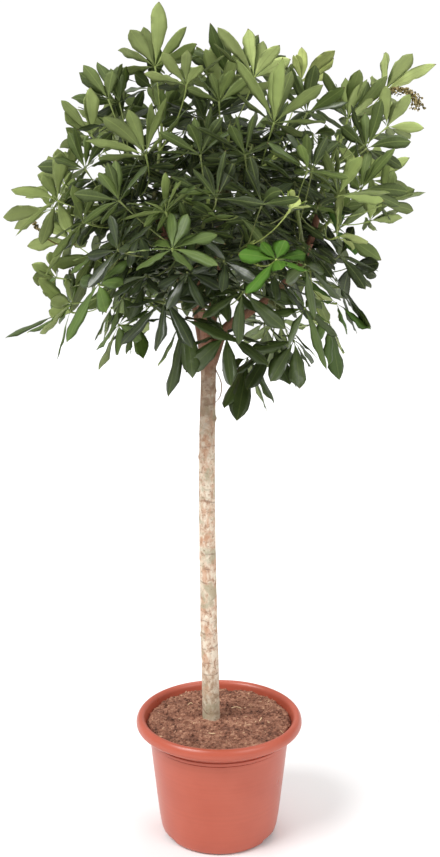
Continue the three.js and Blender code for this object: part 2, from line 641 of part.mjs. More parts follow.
function growCrown(wood, woodSeat) {
  const stems = [];
  const shoots = SHOOTS.map((shoot, number) => makeShoot(shoot, number, stems, wood));
  placePetioles(shoots, wood);
  const sprays = SPRAYS.map((spray, number) => {
    const leaf = shoots[spray.shoot].leaves[spray.leaf];
    return { name: spray.name, solid: makeSpray(spray, leaf, randomNumbers(101 + number)) };
  });
  placeLeaflets(shoots, [wood, ...sprays.map((spray) => spray.solid)]);
  const leafy = shoots.map((shoot) => {
    const solid = joined([shoot.stem, ...shoot.leaves.map((leaf) => leaf.solid)]).subtract(woodSeat);
    return { name: shoot.name, solid };
  });
  return { leafy, sprays };
}

// ---- Assembly ----

function material(color, roughness) {
  return new THREE.MeshStandardMaterial({ color, roughness, metalness: 0 });
}

const terracottaPlastic = material('#cb6a55', 0.42);
const peat = material('#8a5a45', 0.95);
const bark = material('#b39b7d', 0.85);

const plant = new THREE.Group();
const wood = makeWood(0);
const woodSeat = makeWood(FIT_GAP / Math.cos(Math.PI / LIMB_SIDES));
plant.add(meshOf('pot', makePot(), terracottaPlastic));
plant.add(meshOf('soil', makeSoil(makeTrunk(FIT_GAP / Math.cos(Math.PI / TRUNK_SIDES))), peat));
plant.add(meshOf('trunk', wood, bark));
const crown = growCrown(wood, woodSeat);
for (const { name, solid } of crown.leafy) plant.add(meshOf(name, solid, material('#3f6332', 0.38)));
for (const { name, solid } of crown.sprays) plant.add(meshOf(name, solid, material('#8a5c34', 0.9)));

export default plant;
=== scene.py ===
"""Looks of the potted umbrella plant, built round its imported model.

The crown is grown again by the rule of its solids, leaf for leaf, with finer leaflets and stalks. Lengths
are named in millimetres. Meshes, geometry trees and materials work in metres.
"""

import math

import bmesh
import bpy
import numpy as np
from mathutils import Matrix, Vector, kdtree, noise


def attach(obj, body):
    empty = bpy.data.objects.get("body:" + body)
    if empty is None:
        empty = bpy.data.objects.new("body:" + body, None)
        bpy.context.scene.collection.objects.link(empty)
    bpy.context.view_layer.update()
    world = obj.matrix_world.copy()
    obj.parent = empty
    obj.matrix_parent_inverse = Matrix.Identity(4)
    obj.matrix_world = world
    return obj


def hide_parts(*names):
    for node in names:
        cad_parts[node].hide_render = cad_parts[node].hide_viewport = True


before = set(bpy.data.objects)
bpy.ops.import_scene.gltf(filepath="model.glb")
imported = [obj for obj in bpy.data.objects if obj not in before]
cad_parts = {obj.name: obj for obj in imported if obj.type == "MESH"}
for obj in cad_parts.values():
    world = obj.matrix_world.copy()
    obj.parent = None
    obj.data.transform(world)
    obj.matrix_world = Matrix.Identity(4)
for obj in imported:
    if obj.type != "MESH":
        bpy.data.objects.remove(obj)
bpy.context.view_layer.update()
MM = 0.001

# ---- Dimensions ----

# Pot
RIM_RADIUS = 190
RIM_MOUTH_RADIUS = 169
POT_HEIGHT = 284
RIM_LIP = 256
RING_RADIUS = 164.5
BODY_TOP_RADIUS = 159.5
BODY_TOP = 231
BODY_FOOT_RADIUS = 140
BODY_FOOT = 50
FOOT_RADIUS = 121
FOOT_WIDTH = 20
FLOOR_UNDERSIDE = 8
WALL = 4
NOTCH_HEIGHT = 12.5
NOTCH_WIDTH = 58
NOTCH_DEPTH = 60
NOTCH_NARROWING = 0.86
NOTCH_BEARINGS = (-150, -30, 90)
SOIL_TOP = 266
POT_SEGMENTS = 144
POT_CREASE = 38
SOIL_SEGMENTS = 160
SOIL_RINGS = 66

# Wood
TRUNK_LINE = [(-17, 0, 120), (-18, 0, 265), (-24, 0, 560), (-27, 0, 850), (-23, 0, 1080), (-22, 0, 1150)]
TRUNK_RADII = (20.6, 16.2)
LIMB_RADII = (10.5, 6.3)
LIMBS = {
    "left": [(-24, 0, 1105), (-42, -6, 1180), (-64, -14, 1270), (-104, -24, 1345), (-140, -28, 1425)],
    "centre": [(-22, 0, 1110), (-14, 8, 1200), (-6, 14, 1300), (0, 16, 1400), (6, 10, 1480)],
    "right": [
        (-22, 0, 1090), (14, -14, 1172), (64, -26, 1208), (130, -34, 1260), (180, -38, 1330),
        (205, -34, 1410),
    ],
    "back": [(-22, 2, 1110), (-16, 60, 1190), (-6, 125, 1270), (6, 180, 1360)],
    "front": [(-24, -2, 1120), (-34, -55, 1195), (-44, -110, 1265), (-50, -150, 1330)],
}

# Leaves
LEAFLETS = 7
LEAFLETS_BEHIND = 6
SMALL_LEAF = 92
LEAFLET_HALF_WIDTH = 9
LEAFLET_WIDENING = 0.075
HUB_HALF_THICKNESS = 1.8
PETIOLE_RADIUS = 1.9
STEM_RADII = (5.2, 3.4)
STEM_STEP_BACK = 0.06
LIGHT_PULL = 350
LIGHT_FROM = 1250
LIGHT_FULL = 1450
SPIRAL = 137.5

# Leafy shoots: the limb each grows from and how far along it, the stem's tip, and its leaves. A leaf is
# its hub's x, y and z, its leaflets' length, how far its axis leans outward from upright, and how far
# its leaflets open from that axis, in degrees. A shoot with a number instead grows that many leaves.
SHOOTS = [
    ("left", 1, (-118, -20, 1580), [
        (-130, -20, 1705, 155, 36, 56), (-140, 60, 1670, 120, 25, 60), (-65, -70, 1665, 105, 20, 58),
        (-115, 70, 1595, 115, 20, 60),
    ]),
    ("left", 0.95, (-185, -40, 1500), [
        (-205, -10, 1635, 120, 45, 55), (-260, -40, 1570, 100, 50, 52), (-140, -200, 1525, 140, 38, 58),
        (-225, 60, 1575, 120, 35, 55),
    ]),
    ("left", 0.85, (-235, -30, 1430), [
        (-335, 60, 1475, 110, 55, 62), (-325, -100, 1440, 125, 62, 82), (-265, -120, 1500, 115, 50, 62),
        (-265, -180, 1400, 105, 55, 85),
    ]),
    ("left", 0.65, (-225, -60, 1300), [
        (-320, 40, 1355, 105, 60, 72), (-360, 110, 1270, 85, 72, 60), (-325, 90, 1195, 148, 60, 52),
        (-235, -200, 1280, 105, 55, 95),
    ]),
    ("left", 0.4, (-150, -70, 1235), [
        (-205, -110, 1190, 100, 55, 100), (-180, -20, 1180, 90, 45, 112), (-70, -180, 1210, 130, 30, 115),
    ]),
    ("front", 1, (-95, -220, 1360), [
        (-85, -340, 1355, 105, 22, 88), (-100, -260, 1420, 105, 30, 70), (-190, -270, 1350, 105, 45, 85),
        (-190, -220, 1440, 110, 45, 70),
    ]),
    ("front", 0.55, (5, -165, 1230), [
        (15, -190, 1180, 105, 30, 102), (45, -250, 1270, 105, 40, 105), (-105, -250, 1255, 110, 35, 105),
    ]),
    ("right", 0.5, (140, -75, 1215), [
        (170, -170, 1230, 105, 50, 105), (155, -90, 1155, 118, 40, 112), (60, -30, 1110, 130, 22, 125),
        (100, 60, 1175, 115, 35, 112),
    ]),
    ("right", 0.7, (205, -50, 1310), [
        (260, 40, 1255, 115, 55, 92), (260, 60, 1320, 105, 55, 75), (165, -230, 1320, 110, 50, 95),
        (230, -60, 1190, 110, 45, 105),
    ]),
    ("right", 0.9, (235, -70, 1410), [
        (340, 0, 1430, 105, 60, 55), (230, -180, 1370, 115, 50, 62), (325, 60, 1395, 90, 70, 60),
        (280, -140, 1460, 115, 50, 58),
    ]),
    ("right", 1, (215, -60, 1500), [
        (230, -200, 1450, 120, 40, 60), (290, -130, 1540, 105, 50, 60), (340, -60, 1585, 90, 55, 55),
    ]),
    ("right", 1, (245, 10, 1560), [
        (265, -20, 1605, 122, 35, 60), (345, 40, 1660, 130, 50, 55),
    ]),
    ("centre", 1, (110, -70, 1520), [
        (105, -190, 1585, 145, 35, 58), (175, -90, 1610, 110, 25, 60), (175, 80, 1685, 95, 30, 50),
        (50, -220, 1525, 110, 15, 65),
    ]),
    ("centre", 1, (20, -20, 1580), [
        (30, 30, 1675, 155, 36, 56), (70, -60, 1680, 125, 32, 48), (0, -110, 1630, 85, 20, 55),
        (-30, -10, 1600, 115, 10, 65),
    ]),
    ("front", 1, (60, -220, 1360), [
        (105, -330, 1335, 105, 28, 85), (130, -310, 1425, 50, 20, 40), (80, -290, 1435, 115, 25, 75),
    ]),
    ("right", 0.8, (150, -190, 1440), [
        (165, -260, 1495, 100, 30, 75),
    ]),
    ("front", 1, (-20, -210, 1440), [
        (-5, -300, 1445, 110, 20, 70), (-35, -210, 1525, 115, 15, 62),
    ]),
    ("back", 1, (20, 250, 1480), 4),
    ("back", 0.85, (-110, 230, 1430), 3),
    ("back", 0.85, (140, 220, 1420), 3),
    ("left", 0.9, (-220, 120, 1480), 3),
    ("right", 0.95, (230, 120, 1480), 4),
    ("back", 0.55, (-130, 180, 1280), 3),
    ("back", 0.55, (120, 190, 1260), 3),
    ("back", 0.7, (0, 240, 1300), 3),
    ("centre", 1, (-40, 120, 1590), 3),
    ("centre", 0.9, (80, 110, 1570), 3),
    ("left", 0.5, (-190, 70, 1320), 3),
    ("right", 0.6, (200, 60, 1290), 3),
]

# Leaves of the shoots on the hidden side: the point they look away from, and the least and most of how far
# their hubs stand from the stem's tip and of how long their leaflets are.
HIDDEN_CENTRE = np.array([0, 0, 1380])
HIDDEN_REACH = (95, 130)
HIDDEN_LENGTH = (110, 140)
# The height they start from, how far they rise from it, and how wide they stand.
HIDDEN_FOOT = 1150
HIDDEN_RISE = 500
HIDDEN_WIDTH = 350

# How a leaflet may give way to its neighbours: degrees more open, degrees round its leaf's axis, and the
# share of its length that is left.
GIVING_WAY = [
    (0, 0, 1), (-10, 0, 1), (10, 0, 1), (0, 9, 1), (0, -9, 1), (-20, 0, 1), (20, 0, 1), (-12, 10, 1),
    (-12, -10, 1), (12, 10, 1), (12, -10, 1), (-32, 0, 1), (32, 0, 1), (0, 0, 0.8), (-16, 8, 0.8),
    (16, -8, 0.8), (-30, 8, 0.8), (30, -8, 0.8), (0, 0, 0.62),
]
# How far a petiole may bow, sideways and downhill.
PETIOLE_BOWS = [
    (0, 0), (14, 0), (-14, 0), (0, 14), (0, -14), (28, 0), (-28, 0), (0, 28), (0, -28), (40, 20), (-40, 20),
    (40, -20), (-40, -20), (60, 0), (-60, 0),
]

# Shape of a leaflet: how far each row of its blade reaches, its half width, and its thickness, all as
# shares. The first rows are its own short stalk.
ROW_REACH = [
    (0, 0), (0.1, 0.1), (0.2, 0.21), (0.3, 0.34), (0.4, 0.48), (0.5, 0.61), (0.6, 0.73), (0.7, 0.83),
    (0.8, 0.91), (0.9, 0.968), (1, 1),
]
OUTLINE = [
    (0, 0.075), (0.1, 0.065), (0.15, 0.13), (0.24, 0.38), (0.36, 0.66), (0.48, 0.87), (0.61, 0.99),
    (0.72, 1.0), (0.82, 0.87), (0.9, 0.58), (0.968, 0.2), (1, 0),
]
BODY = [(0, 0), (0.03, 1), (0.12, 1), (0.2, 0.55), (0.5, 0.4), (1, 0.3)]
# How wide a leaflet is beside its solid's, low and high in the crown.
WIDER = (1.03, 0.8)
# How far leaflets differ in the slope that their tips are twisted to, and in their sideways sweep as a
# share of their length.
LEAFLET_TWIST = 1.5
LEAFLET_SWAY = 0.3
# How much more a leaflet is folded along its midrib than its solid, and how the fold's slope lessens with
# the distance from the midrib, in metres.
MORE_FOLD = 1.8
FOLD_EASE = -0.55 / LEAFLET_HALF_WIDTH / MM / 2
# How far low and high leaflets differ in their roll about their own midribs, in degrees.
LEAFLET_ROLL = (54, 80)
# Share of that roll that the leaflets of the leaves named in LEAF_AGES keep, which the photo shows flat.
SEEN_ROLL = 0.4
# Inner leaves on each shoot, and how far from the crown's middle their hubs reach, its height counted
# as more than its width.
INNER_LEAVES = 8
INNER_REACH = 285
# Least and most of an inner leaf: how far its hub stands from the stem, how long its leaflets are, how far
# its axis leans and how far they open from it, in degrees.
INNER_PETIOLE = (50, 105)
INNER_LENGTH = (78, 105)
INNER_LEAN = (8, 44)
INNER_OPENING = (88, 118)
# Places, by width and height, that stay free of inner leaves: the trunk's fork, the gaps at the right side
# and the crown's top.
BARE_PLACES = [
    ((-170, 160), (1060, 1270)), ((180, 500), (1050, 1330)), ((200, 500), (1330, 1700)),
    ((-500, 500), (1640, 1800)),
]
# Height from which a leaf's upper side is filled with two more leaflets, and how far to each side of its
# middle they stand, in degrees.
FILLED_FROM = 1330
FILLED_AROUND = (12, 34)
# The crown's middle, and by how much distances from it count along x, y and z.
CROWN_CENTRE = np.array([-5.0, 0.0, 1430.0])
CROWN_SQUASH = np.array([0.95, 0.95, 1.1])
# How far out a leaf stands as seen from the front is a share of this reach. By that share, its least age,
# partly painted shade that darkens leaves towards the crown's middle, and the part of its width that a
# leaflet grows to in the shade.
DEPTH_REACH = 330
AGE_AND_SHADE_BY_DEPTH = ((0.5, 0.56), (0.92, 0.34))
WIDTH_BY_DEPTH = ((0.35, 0.74), (0.9, 1))
# How far the age of leaves in one place differs, and what age painted shade adds, darkening them: to the
# inner leaves, and to those behind the crown's middle and this far below it.
AGE_SPREAD = 0.56
SHADE_AGE = 0.25
LOW_BEHIND = -120

# Seed of the first shoot's draws for what only this scene has.
SCENE_SEED = 301

# What the leaflet tree reads for each leaflet besides its place.
LEAFLET_VALUES = ("along", "face", "length", "width", "droop", "fold", "twist", "sway", "tone", "age")

# How old a leaf looks, from 0 to 1, by shoot and place in its list, where the photo shows it.
LEAF_AGES = {
    (15, 1): 0.12, (13, 2): 0.05, (15, 0): 0.28, (10, 1): 0.26, (6, 0): 0.55, (12, 1): 0.4, (1, 0): 0.5,
    (13, 0): 0.62, (2, 2): 0.6, (3, 3): 0.7, (3, 0): 0.42, (3, 1): 0.55,
    (4, 0): 0.45, (4, 1): 0.42, (4, 2): 0.5, (4, 3): 0.45, (4, 11): 0.55, (4, 10): 0.6,
    (28, 1): 0.5, (28, 7): 0.55, (3, 8): 0.7,
}

# Leaves that only the photo's outline shows, by shoot: how far along its stem each grows, and its row.
OUTLINE_LEAVES = {
    4: [(0.7, (-315, 20, 1222, 115, 72, 72))],
    3: [(0.6, (-350, -10, 1420, 105, 72, 62))],
    8: [(0.5, (112, -70, 1140, 118, 15, 130))],
    16: [(0.7, (178, -215, 1500, 95, 10, 34))],
    12: [(0.7, (262, -30, 1600, 92, 14, 40))],
    2: [(0.7, (-225, -30, 1640, 92, 40, 45))],
}

# Leaflets that the photo's outline shows elsewhere, by shoot and leaf: how far each is turned clockwise
# as seen from the front, in degrees, and how many times as long it is.
LEAFLET_CHANGES = {
    (1, 0): {0: (25, 0.65), 4: (15, 0.8), 5: (10, 0.65), 6: (10, 1), 7: (-10, 0.75), 8: (20, 0.9)},
    (1, 1): {1: (0, 0.6)},
    (1, 2): {4: (15, 0.6), 8: (0, 0.55)},
    (2, 0): {5: (0, 0.6)},
    (2, 1): {1: (-10, 1), 2: (15, 0.9), 3: (-15, 1), 7: (10, 1)},
    (2, 12): {1: (0, 0.75), 2: (10, 1), 3: (0, 0.7)},
    (3, 0): {4: (0, 0.65), 5: (0, 0.8), 7: (0, 0.8)},
    (3, 1): {3: (0, 1.1), 7: (0, 0.65)},
    (3, 2): {5: (0, 0.8)},
    (3, 12): {0: (-25, 1.05), 1: (0, 0.5), 5: (0, 0.5), 6: (10, 1)},
    (4, 0): {2: (5, 0.95)},
    (4, 1): {4: (0, 0.6), 5: (25, 0.8)},
    (4, 2): {2: (10, 1.1), 3: (0, 0.5)},
    (4, 3): {1: (5, 1.15)},
    (4, 11): {5: (-15, 1.05)},
    (5, 0): {2: (5, 1), 3: (0, 0.7)},
    (5, 1): {0: (5, 1.3), 5: (0, 0.75)},
    (5, 2): {2: (-20, 0.85), 3: (-20, 1.15), 4: (0, 0.9)},
    (8, 0): {6: (0, 1.05)},
    (8, 1): {2: (5, 0.75), 3: (0, 0.6)},
    (8, 2): {0: (-5, 0.8), 1: (10, 1.1), 4: (0, 0.5), 5: (-30, 1.05), 6: (10, 1.15)},
    (8, 5): {3: (0, 0.75), 4: (0, 0.6), 5: (0, 0.85)},
    (9, 0): {5: (-10, 1.05)},
    (9, 1): {2: (5, 1), 3: (10, 0.85)},
    (9, 3): {0: (10, 1), 5: (25, 0.95), 6: (15, 1)},
    (10, 0): {1: (10, 0.9), 2: (-10, 1.1), 3: (-25, 0.85)},
    (10, 1): {0: (10, 0.85), 1: (0, 0.45), 2: (5, 0.5), 7: (5, 0.6)},
    (10, 2): {0: (0, 0.4), 5: (-35, 1)},
    (12, 0): {2: (-10, 1.05)},
    (12, 1): {0: (0, 0.5), 1: (5, 0.7), 2: (0, 0.85), 3: (-20, 1.1), 4: (-40, 1.15), 8: (5, 0.95)},
    (13, 2): {5: (5, 0.7), 6: (20, 1.1), 7: (0, 0.8), 8: (-5, 1)},
    (14, 0): {0: (-10, 0.95), 1: (0, 0.6)},
    (14, 1): {0: (10, 0.7), 1: (15, 0.8), 8: (5, 0.75)},
    (15, 0): {
        0: (-10, 0.7), 2: (-25, 0.85), 3: (0, 0.75), 4: (-40, 1.15), 5: (0, 0.45), 6: (0, 0.7),
        7: (10, 0.55), 8: (-10, 0.55),
    },
    (28, 1): {2: (0, 0.7)},
    (29, 0): {2: (25, 0.95), 3: (0, 0.7), 4: (0, 0.6)},
    (29, 1): {1: (-15, 0.7)},
}

# Thin dead strand at the trunk's side, knots (height, bearing, rise, size) and the groove round the trunk.
STRAND_LINE = [(-8, -6, 1010), (2, -12, 1024), (5, -14, 1052), (-9, -5, 1086)]
STRAND_RADIUS = 1.2
KNOTS = [(974, 0, 3.5, 9), (887, -75, 3, 8), (887, 180, 2, 8), (475, -150, 2.5, 7), (1034, 10, 2, 8)]
GROOVE_HEIGHT = 324
# Height between two raised leaf scars.
SCAR_STEP = 47
# Rings and sides of the trunk and of a limb.
TRUNK_GRID = (260, 40)
LIMB_GRID = (60, 18)

SOIL_RADIUS = 165.5
SOIL_GAP = 0.35
SOIL_SEED = 7
# Lumps on the soil: name, how many, their sizes, their shape, and their tones from dark to pale.
CRUMBS = [
    ("peat_clods", 110, 3.5, 9.0, (1, 0.8, 0.5), (0.1, 0.45)),
    ("peat_crumbs", 3600, 0.8, 4.2, (1, 0.85, 0.7), (0.0, 0.5)),
    ("bark_chips", 300, 2.0, 6.5, (1, 0.4, 0.2), (0.0, 0.75)),
    ("pale_fibres", 70, 2.5, 8.0, (1, 0.14, 0.1), (0.6, 1.0)),
]
# How far each is turned at most about x, y and z, in radians.
CRUMB_TURN = np.array([0.5, 0.5, 6.28])

# Straws lying on the peat: the ends and middle of each, from the soil's top.
STRAWS = [
    [(28, 44, 3), (40, 49, 7), (53, 47, 3)], [(-74, 68, 3), (-68, 72, 5), (-62, 71, 3)],
    [(92, -14, 3), (97, -6, 6), (96, 3, 3)], [(-24, -78, 3), (-15, -82, 5), (-8, -80, 3)],
]

# Dried sprays: shoot and leaf each stands beside, the points of its stalk from that leaf's hub, how many
# twigs it has, from what share of the stalk they start, how far they reach, and its random seed.
SPRAYS = [
    ("spray_right", 11, 1, [(15, -20, 4), (38, -34, 2), (60, -44, -20)], 36, 0.12, 25, 41),
    ("spray_left", 3, 0, [(-28, -20, -6), (-58, -32, 18), (-70, -36, 42)], 9, 0.8, 12, 42),
]
# Where florets sit along a twig, and how far each is turned at most, in radians.
FLORET_PLACES = (0.3, 0.45, 0.6, 0.7, 0.8, 0.9, 1, 1)
FLORET_TURN = 6.28

# ---- Colours, and the spacing of veins and scars ----

# Leaf colours by age, young to old; the dark old end also serves as painted shade deep in the crown.
LEAF_ABOVE = [
    (0, "#8FA03C"), (0.25, "#3C6416"), (0.34, "#4F6B2E"), (0.5, "#53662F"), (0.75, "#4B5A2F"), (1, "#38432A"),
]
LEAF_BELOW = [(0, "#CBD583"), (0.34, "#BAC880"), (0.6, "#8B9A59"), (0.8, "#617336"), (1, "#3C4A1F")]
LEAF_VEIN = "#A3B463"
LEAF_TIP = "#6B4A28"
VEIN_SPACING = 8
STALK_GREENS = [(0, "#7B6346"), (0.35, "#6C7340"), (0.7, "#8B9C50"), (1, "#AEBC66")]
BARK_BEIGES = [(0.36, "#A8866C"), (0.44, "#CBAB93"), (0.5, "#DFCAB3"), (0.6, "#EEE1CD")]
BARK_PINK = "#C99675"
BARK_GREY = "#AFA88C"
BARK_BROWN = "#7C5C46"
BARK_RED = "#75462F"
SCAR_SPACING = 31
PEAT_BROWNS = [(0.3, "#3A231A"), (0.48, "#6C4434"), (0.66, "#966650"), (0.85, "#BC8E74"), (1.0, "#E2C49C")]
POT_ORANGES = [(0.35, "#B65741"), (0.65, "#BD5E48")]
DRIED_BROWNS = [(0, "#3F3420"), (0.4, "#655A30"), (0.7, "#8B7C46"), (1, "#B9A878")]
FLOOR_WHITE = "#F6F6F6"

# ---- Camera and light ----

# The photo's height and the camera's focal length in pixels, the film's height in millimetres, the
# camera's place in metres and how far it looks down, in degrees.
IMAGE_HEIGHT = 857
CAMERA_FOCAL = 1150
CAMERA_FILM = 36
CAMERA_PLACE = (0.002, -2.458, 1.460)
CAMERA_PITCH = 11.7
FLOOR_REACH = 9000
WORLD_LIGHT = 0.54
# Wide suns: name, the way towards each, its strength, and how wide it looks, in degrees.
LIGHTS = [
    ("key", (-0.72, -0.5, 1.1), 2.1, 28),
    ("fill", (0.7, -0.65, 0.8), 0.7, 30),
    ("top", (0.1, 0.3, 1.0), 0.9, 24),
]

UP = np.array([0.0, 0.0, 1.0])

# ---- Numbers and lines ----


def random_numbers(seed):
    """Seeded random numbers from 0 to 1, the same ones that the solids are grown with."""
    mask = 0xFFFFFFFF
    state = seed

    def draw():
        nonlocal state
        state = (state + 0x6D2B79F5) & mask
        mixed = ((state ^ (state >> 15)) * (1 | state)) & mask
        mixed = ((mixed + (((mixed ^ (mixed >> 7)) * (61 | mixed)) & mask)) & mask) ^ mixed
        return (mixed ^ (mixed >> 14)) / 2**32

    return draw


def unit(vector):
    """The vector's direction, one long."""
    return vector / np.linalg.norm(vector)


def between(bounds, share):
    """The value at a share of the way from the first bound to the second."""
    first, second = bounds
    return first + (second - first) * share


def bezier(start, middle, end):
    """Point on a three-point curve, as a function of its share from 0 to 1."""

    def at(t):
        t = np.asarray(t, float)[..., None]
        return (1 - t) ** 2 * start + 2 * t * (1 - t) * middle + t**2 * end

    return at


def spline(line):
    """Smooth centripetal curve through the points of a line, as a function of its share from 0 to 1."""
    given = np.array(line, float)
    points = np.vstack([2 * given[0] - given[1], given, 2 * given[-1] - given[-2]])
    steps = np.maximum(np.linalg.norm(np.diff(points, axis=0), axis=1) ** 0.5, 1e-4)

    def at(t):
        t = np.atleast_1d(np.asarray(t, float)) * (len(given) - 1)
        piece = np.minimum(t.astype(int), len(given) - 2)
        w = (t - piece)[:, None]
        p0, p1, p2, p3 = (points[piece + i] for i in range(4))
        d0, d1, d2 = (steps[piece + i][:, None] for i in range(3))
        start = ((p1 - p0) / d0 - (p2 - p0) / (d0 + d1) + (p2 - p1) / d1) * d1
        end = ((p2 - p1) / d1 - (p3 - p1) / (d1 + d2) + (p3 - p2) / d2) * d1
        cube = 2 * p1 - 2 * p2 + start + end
        square = -3 * p1 + 3 * p2 - 2 * start - end
        return p1 + start * w + square * w**2 + cube * w**3

    return at


def even_points(curve, shares):
    """Points of a curve at the given shares of its length."""
    steps = np.linspace(0, 1, 201)
    points = curve(steps)
    lengths = np.concatenate([[0], np.cumsum(np.linalg.norm(np.diff(points, axis=0), axis=1))])
    return curve(np.interp(np.atleast_1d(shares) * lengths[-1], lengths, steps))


# ---- Nodes ----


def colour(code):
    """Linear colour of an sRGB hex value."""
    parts = [int(code[i : i + 2], 16) / 255 for i in (1, 3, 5)]
    linear = [c / 12.92 if c <= 0.04045 else ((c + 0.055) / 1.055) ** 2.4 for c in parts]
    return (*linear, 1.0)


def add_node(tree, kind, inputs=None, stops=None, **settings):
    """Adds one node with its settings, and sets or links its inputs. A node is linked by its first output.

    Stops are those of a ramp or a curve.
    """
    node = tree.nodes.new(kind)
    for name, value in settings.items():
        setattr(node, name, value)
    for name, value in (inputs or {}).items():
        if isinstance(value, bpy.types.Node):
            value = value.outputs[0]
        if isinstance(value, bpy.types.NodeSocket):
            tree.links.new(value, node.inputs[name])
        else:
            node.inputs[name].default_value = value
    if stops and kind == "ShaderNodeValToRGB":
        elements = node.color_ramp.elements
        elements.remove(elements[1])
        elements[0].position = stops[0][0]
        elements[0].color = colour(stops[0][1])
        for position, code in stops[1:]:
            elements.new(position).color = colour(code)
    elif stops:
        points = node.mapping.curves[0].points
        points[0].location = stops[0]
        points[1].location = stops[-1]
        for place in stops[1:-1]:
            points.new(*place)
        node.mapping.update()
    return node


def new_tree(name, sizes):
    """A geometry tree with a geometry input and output and named inputs for its sizes."""
    tree = bpy.data.node_groups.new(name, "GeometryNodeTree")
    tree.interface.new_socket("Geometry", in_out="INPUT", socket_type="NodeSocketGeometry")
    for label, (kind, value) in sizes.items():
        socket = tree.interface.new_socket(label, in_out="INPUT", socket_type=kind)
        if value is not None:
            socket.default_value = value
    tree.interface.new_socket("Geometry", in_out="OUTPUT", socket_type="NodeSocketGeometry")
    return tree, tree.nodes.new("NodeGroupInput").outputs


def end_tree(tree, given, done, spent):
    """Ends a tree: drops the values that are spent, makes all of it real and gives it its material."""
    for name in spent:
        done = add_node(tree, "GeometryNodeRemoveAttribute", {"Geometry": done, "Name": name})
    done = add_node(tree, "GeometryNodeRealizeInstances", {"Geometry": done})
    done = add_node(tree, "GeometryNodeSetMaterial", {"Geometry": done, "Material": given["Material"]})
    add_node(tree, "NodeGroupOutput", {"Geometry": done})


def grow(name, mesh, tree, values):
    """Runs a geometry tree on a mesh and keeps what it makes as a plain mesh."""
    piece = bpy.data.objects.new(name, mesh)
    bpy.context.scene.collection.objects.link(piece)
    modifier = piece.modifiers.new("grow", "NODES")
    modifier.node_group = tree
    for item in tree.interface.items_tree:
        if item.in_out == "INPUT" and item.name in values:
            modifier[item.identifier] = values[item.name]
    evaluated = piece.evaluated_get(bpy.context.evaluated_depsgraph_get())
    made = bpy.data.meshes.new_from_object(evaluated)
    piece.modifiers.clear()
    piece.data = made
    made.name = name
    return piece


def mesh_of(name, points, faces=(), edges=(), **values):
    """A mesh in metres from points in millimetres, with one value a point under each given name."""
    mesh = bpy.data.meshes.new(name)
    mesh.from_pydata((np.asarray(points, float) * MM).tolist(), edges, faces)
    for key, numbers in values.items():
        numbers = np.asarray(numbers, np.float32)
        if numbers.ndim == 2:
            mesh.attributes.new(key, "FLOAT_VECTOR", "POINT").data.foreach_set("vector", numbers.ravel())
        else:
            mesh.attributes.new(key, "FLOAT", "POINT").data.foreach_set("value", numbers)
    mesh.update()
    return mesh


def object_of(name, mesh, material):
    """An object of a plain mesh, smooth, in one material."""
    piece = bpy.data.objects.new(name, mesh)
    bpy.context.scene.collection.objects.link(piece)
    mesh.shade_smooth()
    mesh.materials.append(material)
    return piece


def blade(tree, given):
    """One flat blade on its short stalk: an upper and a lower face, joined at the edge.

    Its points keep how far along it they are, how far to its side, and which face they lie on.
    """
    sizes = {"Size X": 1, "Size Y": 2}
    for label, share in (("Vertices X", "Rows"), ("Vertices Y", "Columns")):
        sizes[label] = add_node(tree, "ShaderNodeMath", {0: given[share], 1: 1}, operation="ADD")
    grid = add_node(tree, "GeometryNodeMeshGrid", sizes)
    place = add_node(tree, "GeometryNodeInputPosition")
    parts = add_node(tree, "ShaderNodeSeparateXYZ", {0: place})
    y = parts.outputs[1]
    row = add_node(tree, "ShaderNodeMath", {0: parts, 1: 0.5}, operation="ADD")
    reach = add_node(tree, "ShaderNodeFloatCurve", {"Value": row}, stops=ROW_REACH)
    outline = add_node(tree, "ShaderNodeFloatCurve", {"Value": reach}, stops=OUTLINE)
    body = add_node(tree, "ShaderNodeFloatCurve", {"Value": reach}, stops=BODY)
    square = add_node(tree, "ShaderNodeMath", {0: y, 1: y}, operation="MULTIPLY")
    crown = add_node(tree, "ShaderNodeMath", {0: 1, 1: square}, operation="SUBTRACT")
    rise = add_node(tree, "ShaderNodeMath", {0: crown, 1: body}, operation="MULTIPLY")
    rise = add_node(tree, "ShaderNodeMath", {0: rise, 1: given["Half thickness"]}, operation="MULTIPLY")
    side = add_node(tree, "ShaderNodeMath", {0: y, 1: outline}, operation="MULTIPLY")
    kept = grid.outputs["Mesh"]
    for name, value in (("reach", reach), ("side", side)):
        inputs = {"Geometry": kept, "Name": name, "Value": value}
        kept = add_node(tree, "GeometryNodeStoreNamedAttribute", inputs, data_type="FLOAT")
    faces = []
    for under in (0, 1):
        height = add_node(tree, "ShaderNodeMath", {0: rise, 1: 1 - 2 * under}, operation="MULTIPLY")
        point = add_node(tree, "ShaderNodeCombineXYZ", {0: reach, 1: side, 2: height})
        face = add_node(tree, "GeometryNodeSetPosition", {"Geometry": kept, "Position": point})
        if under:
            face = add_node(tree, "GeometryNodeFlipFaces", {"Mesh": face})
        inputs = {"Geometry": face, "Name": "under", "Value": float(under)}
        settings = {"data_type": "FLOAT", "domain": "FACE"}
        faces.append(add_node(tree, "GeometryNodeStoreNamedAttribute", inputs, **settings))
    both = add_node(tree, "GeometryNodeJoinGeometry")
    for face in faces:
        tree.links.new(face.outputs[0], both.inputs[0])
    return add_node(tree, "GeometryNodeMergeByDistance", {"Geometry": both, "Distance": 1e-5})


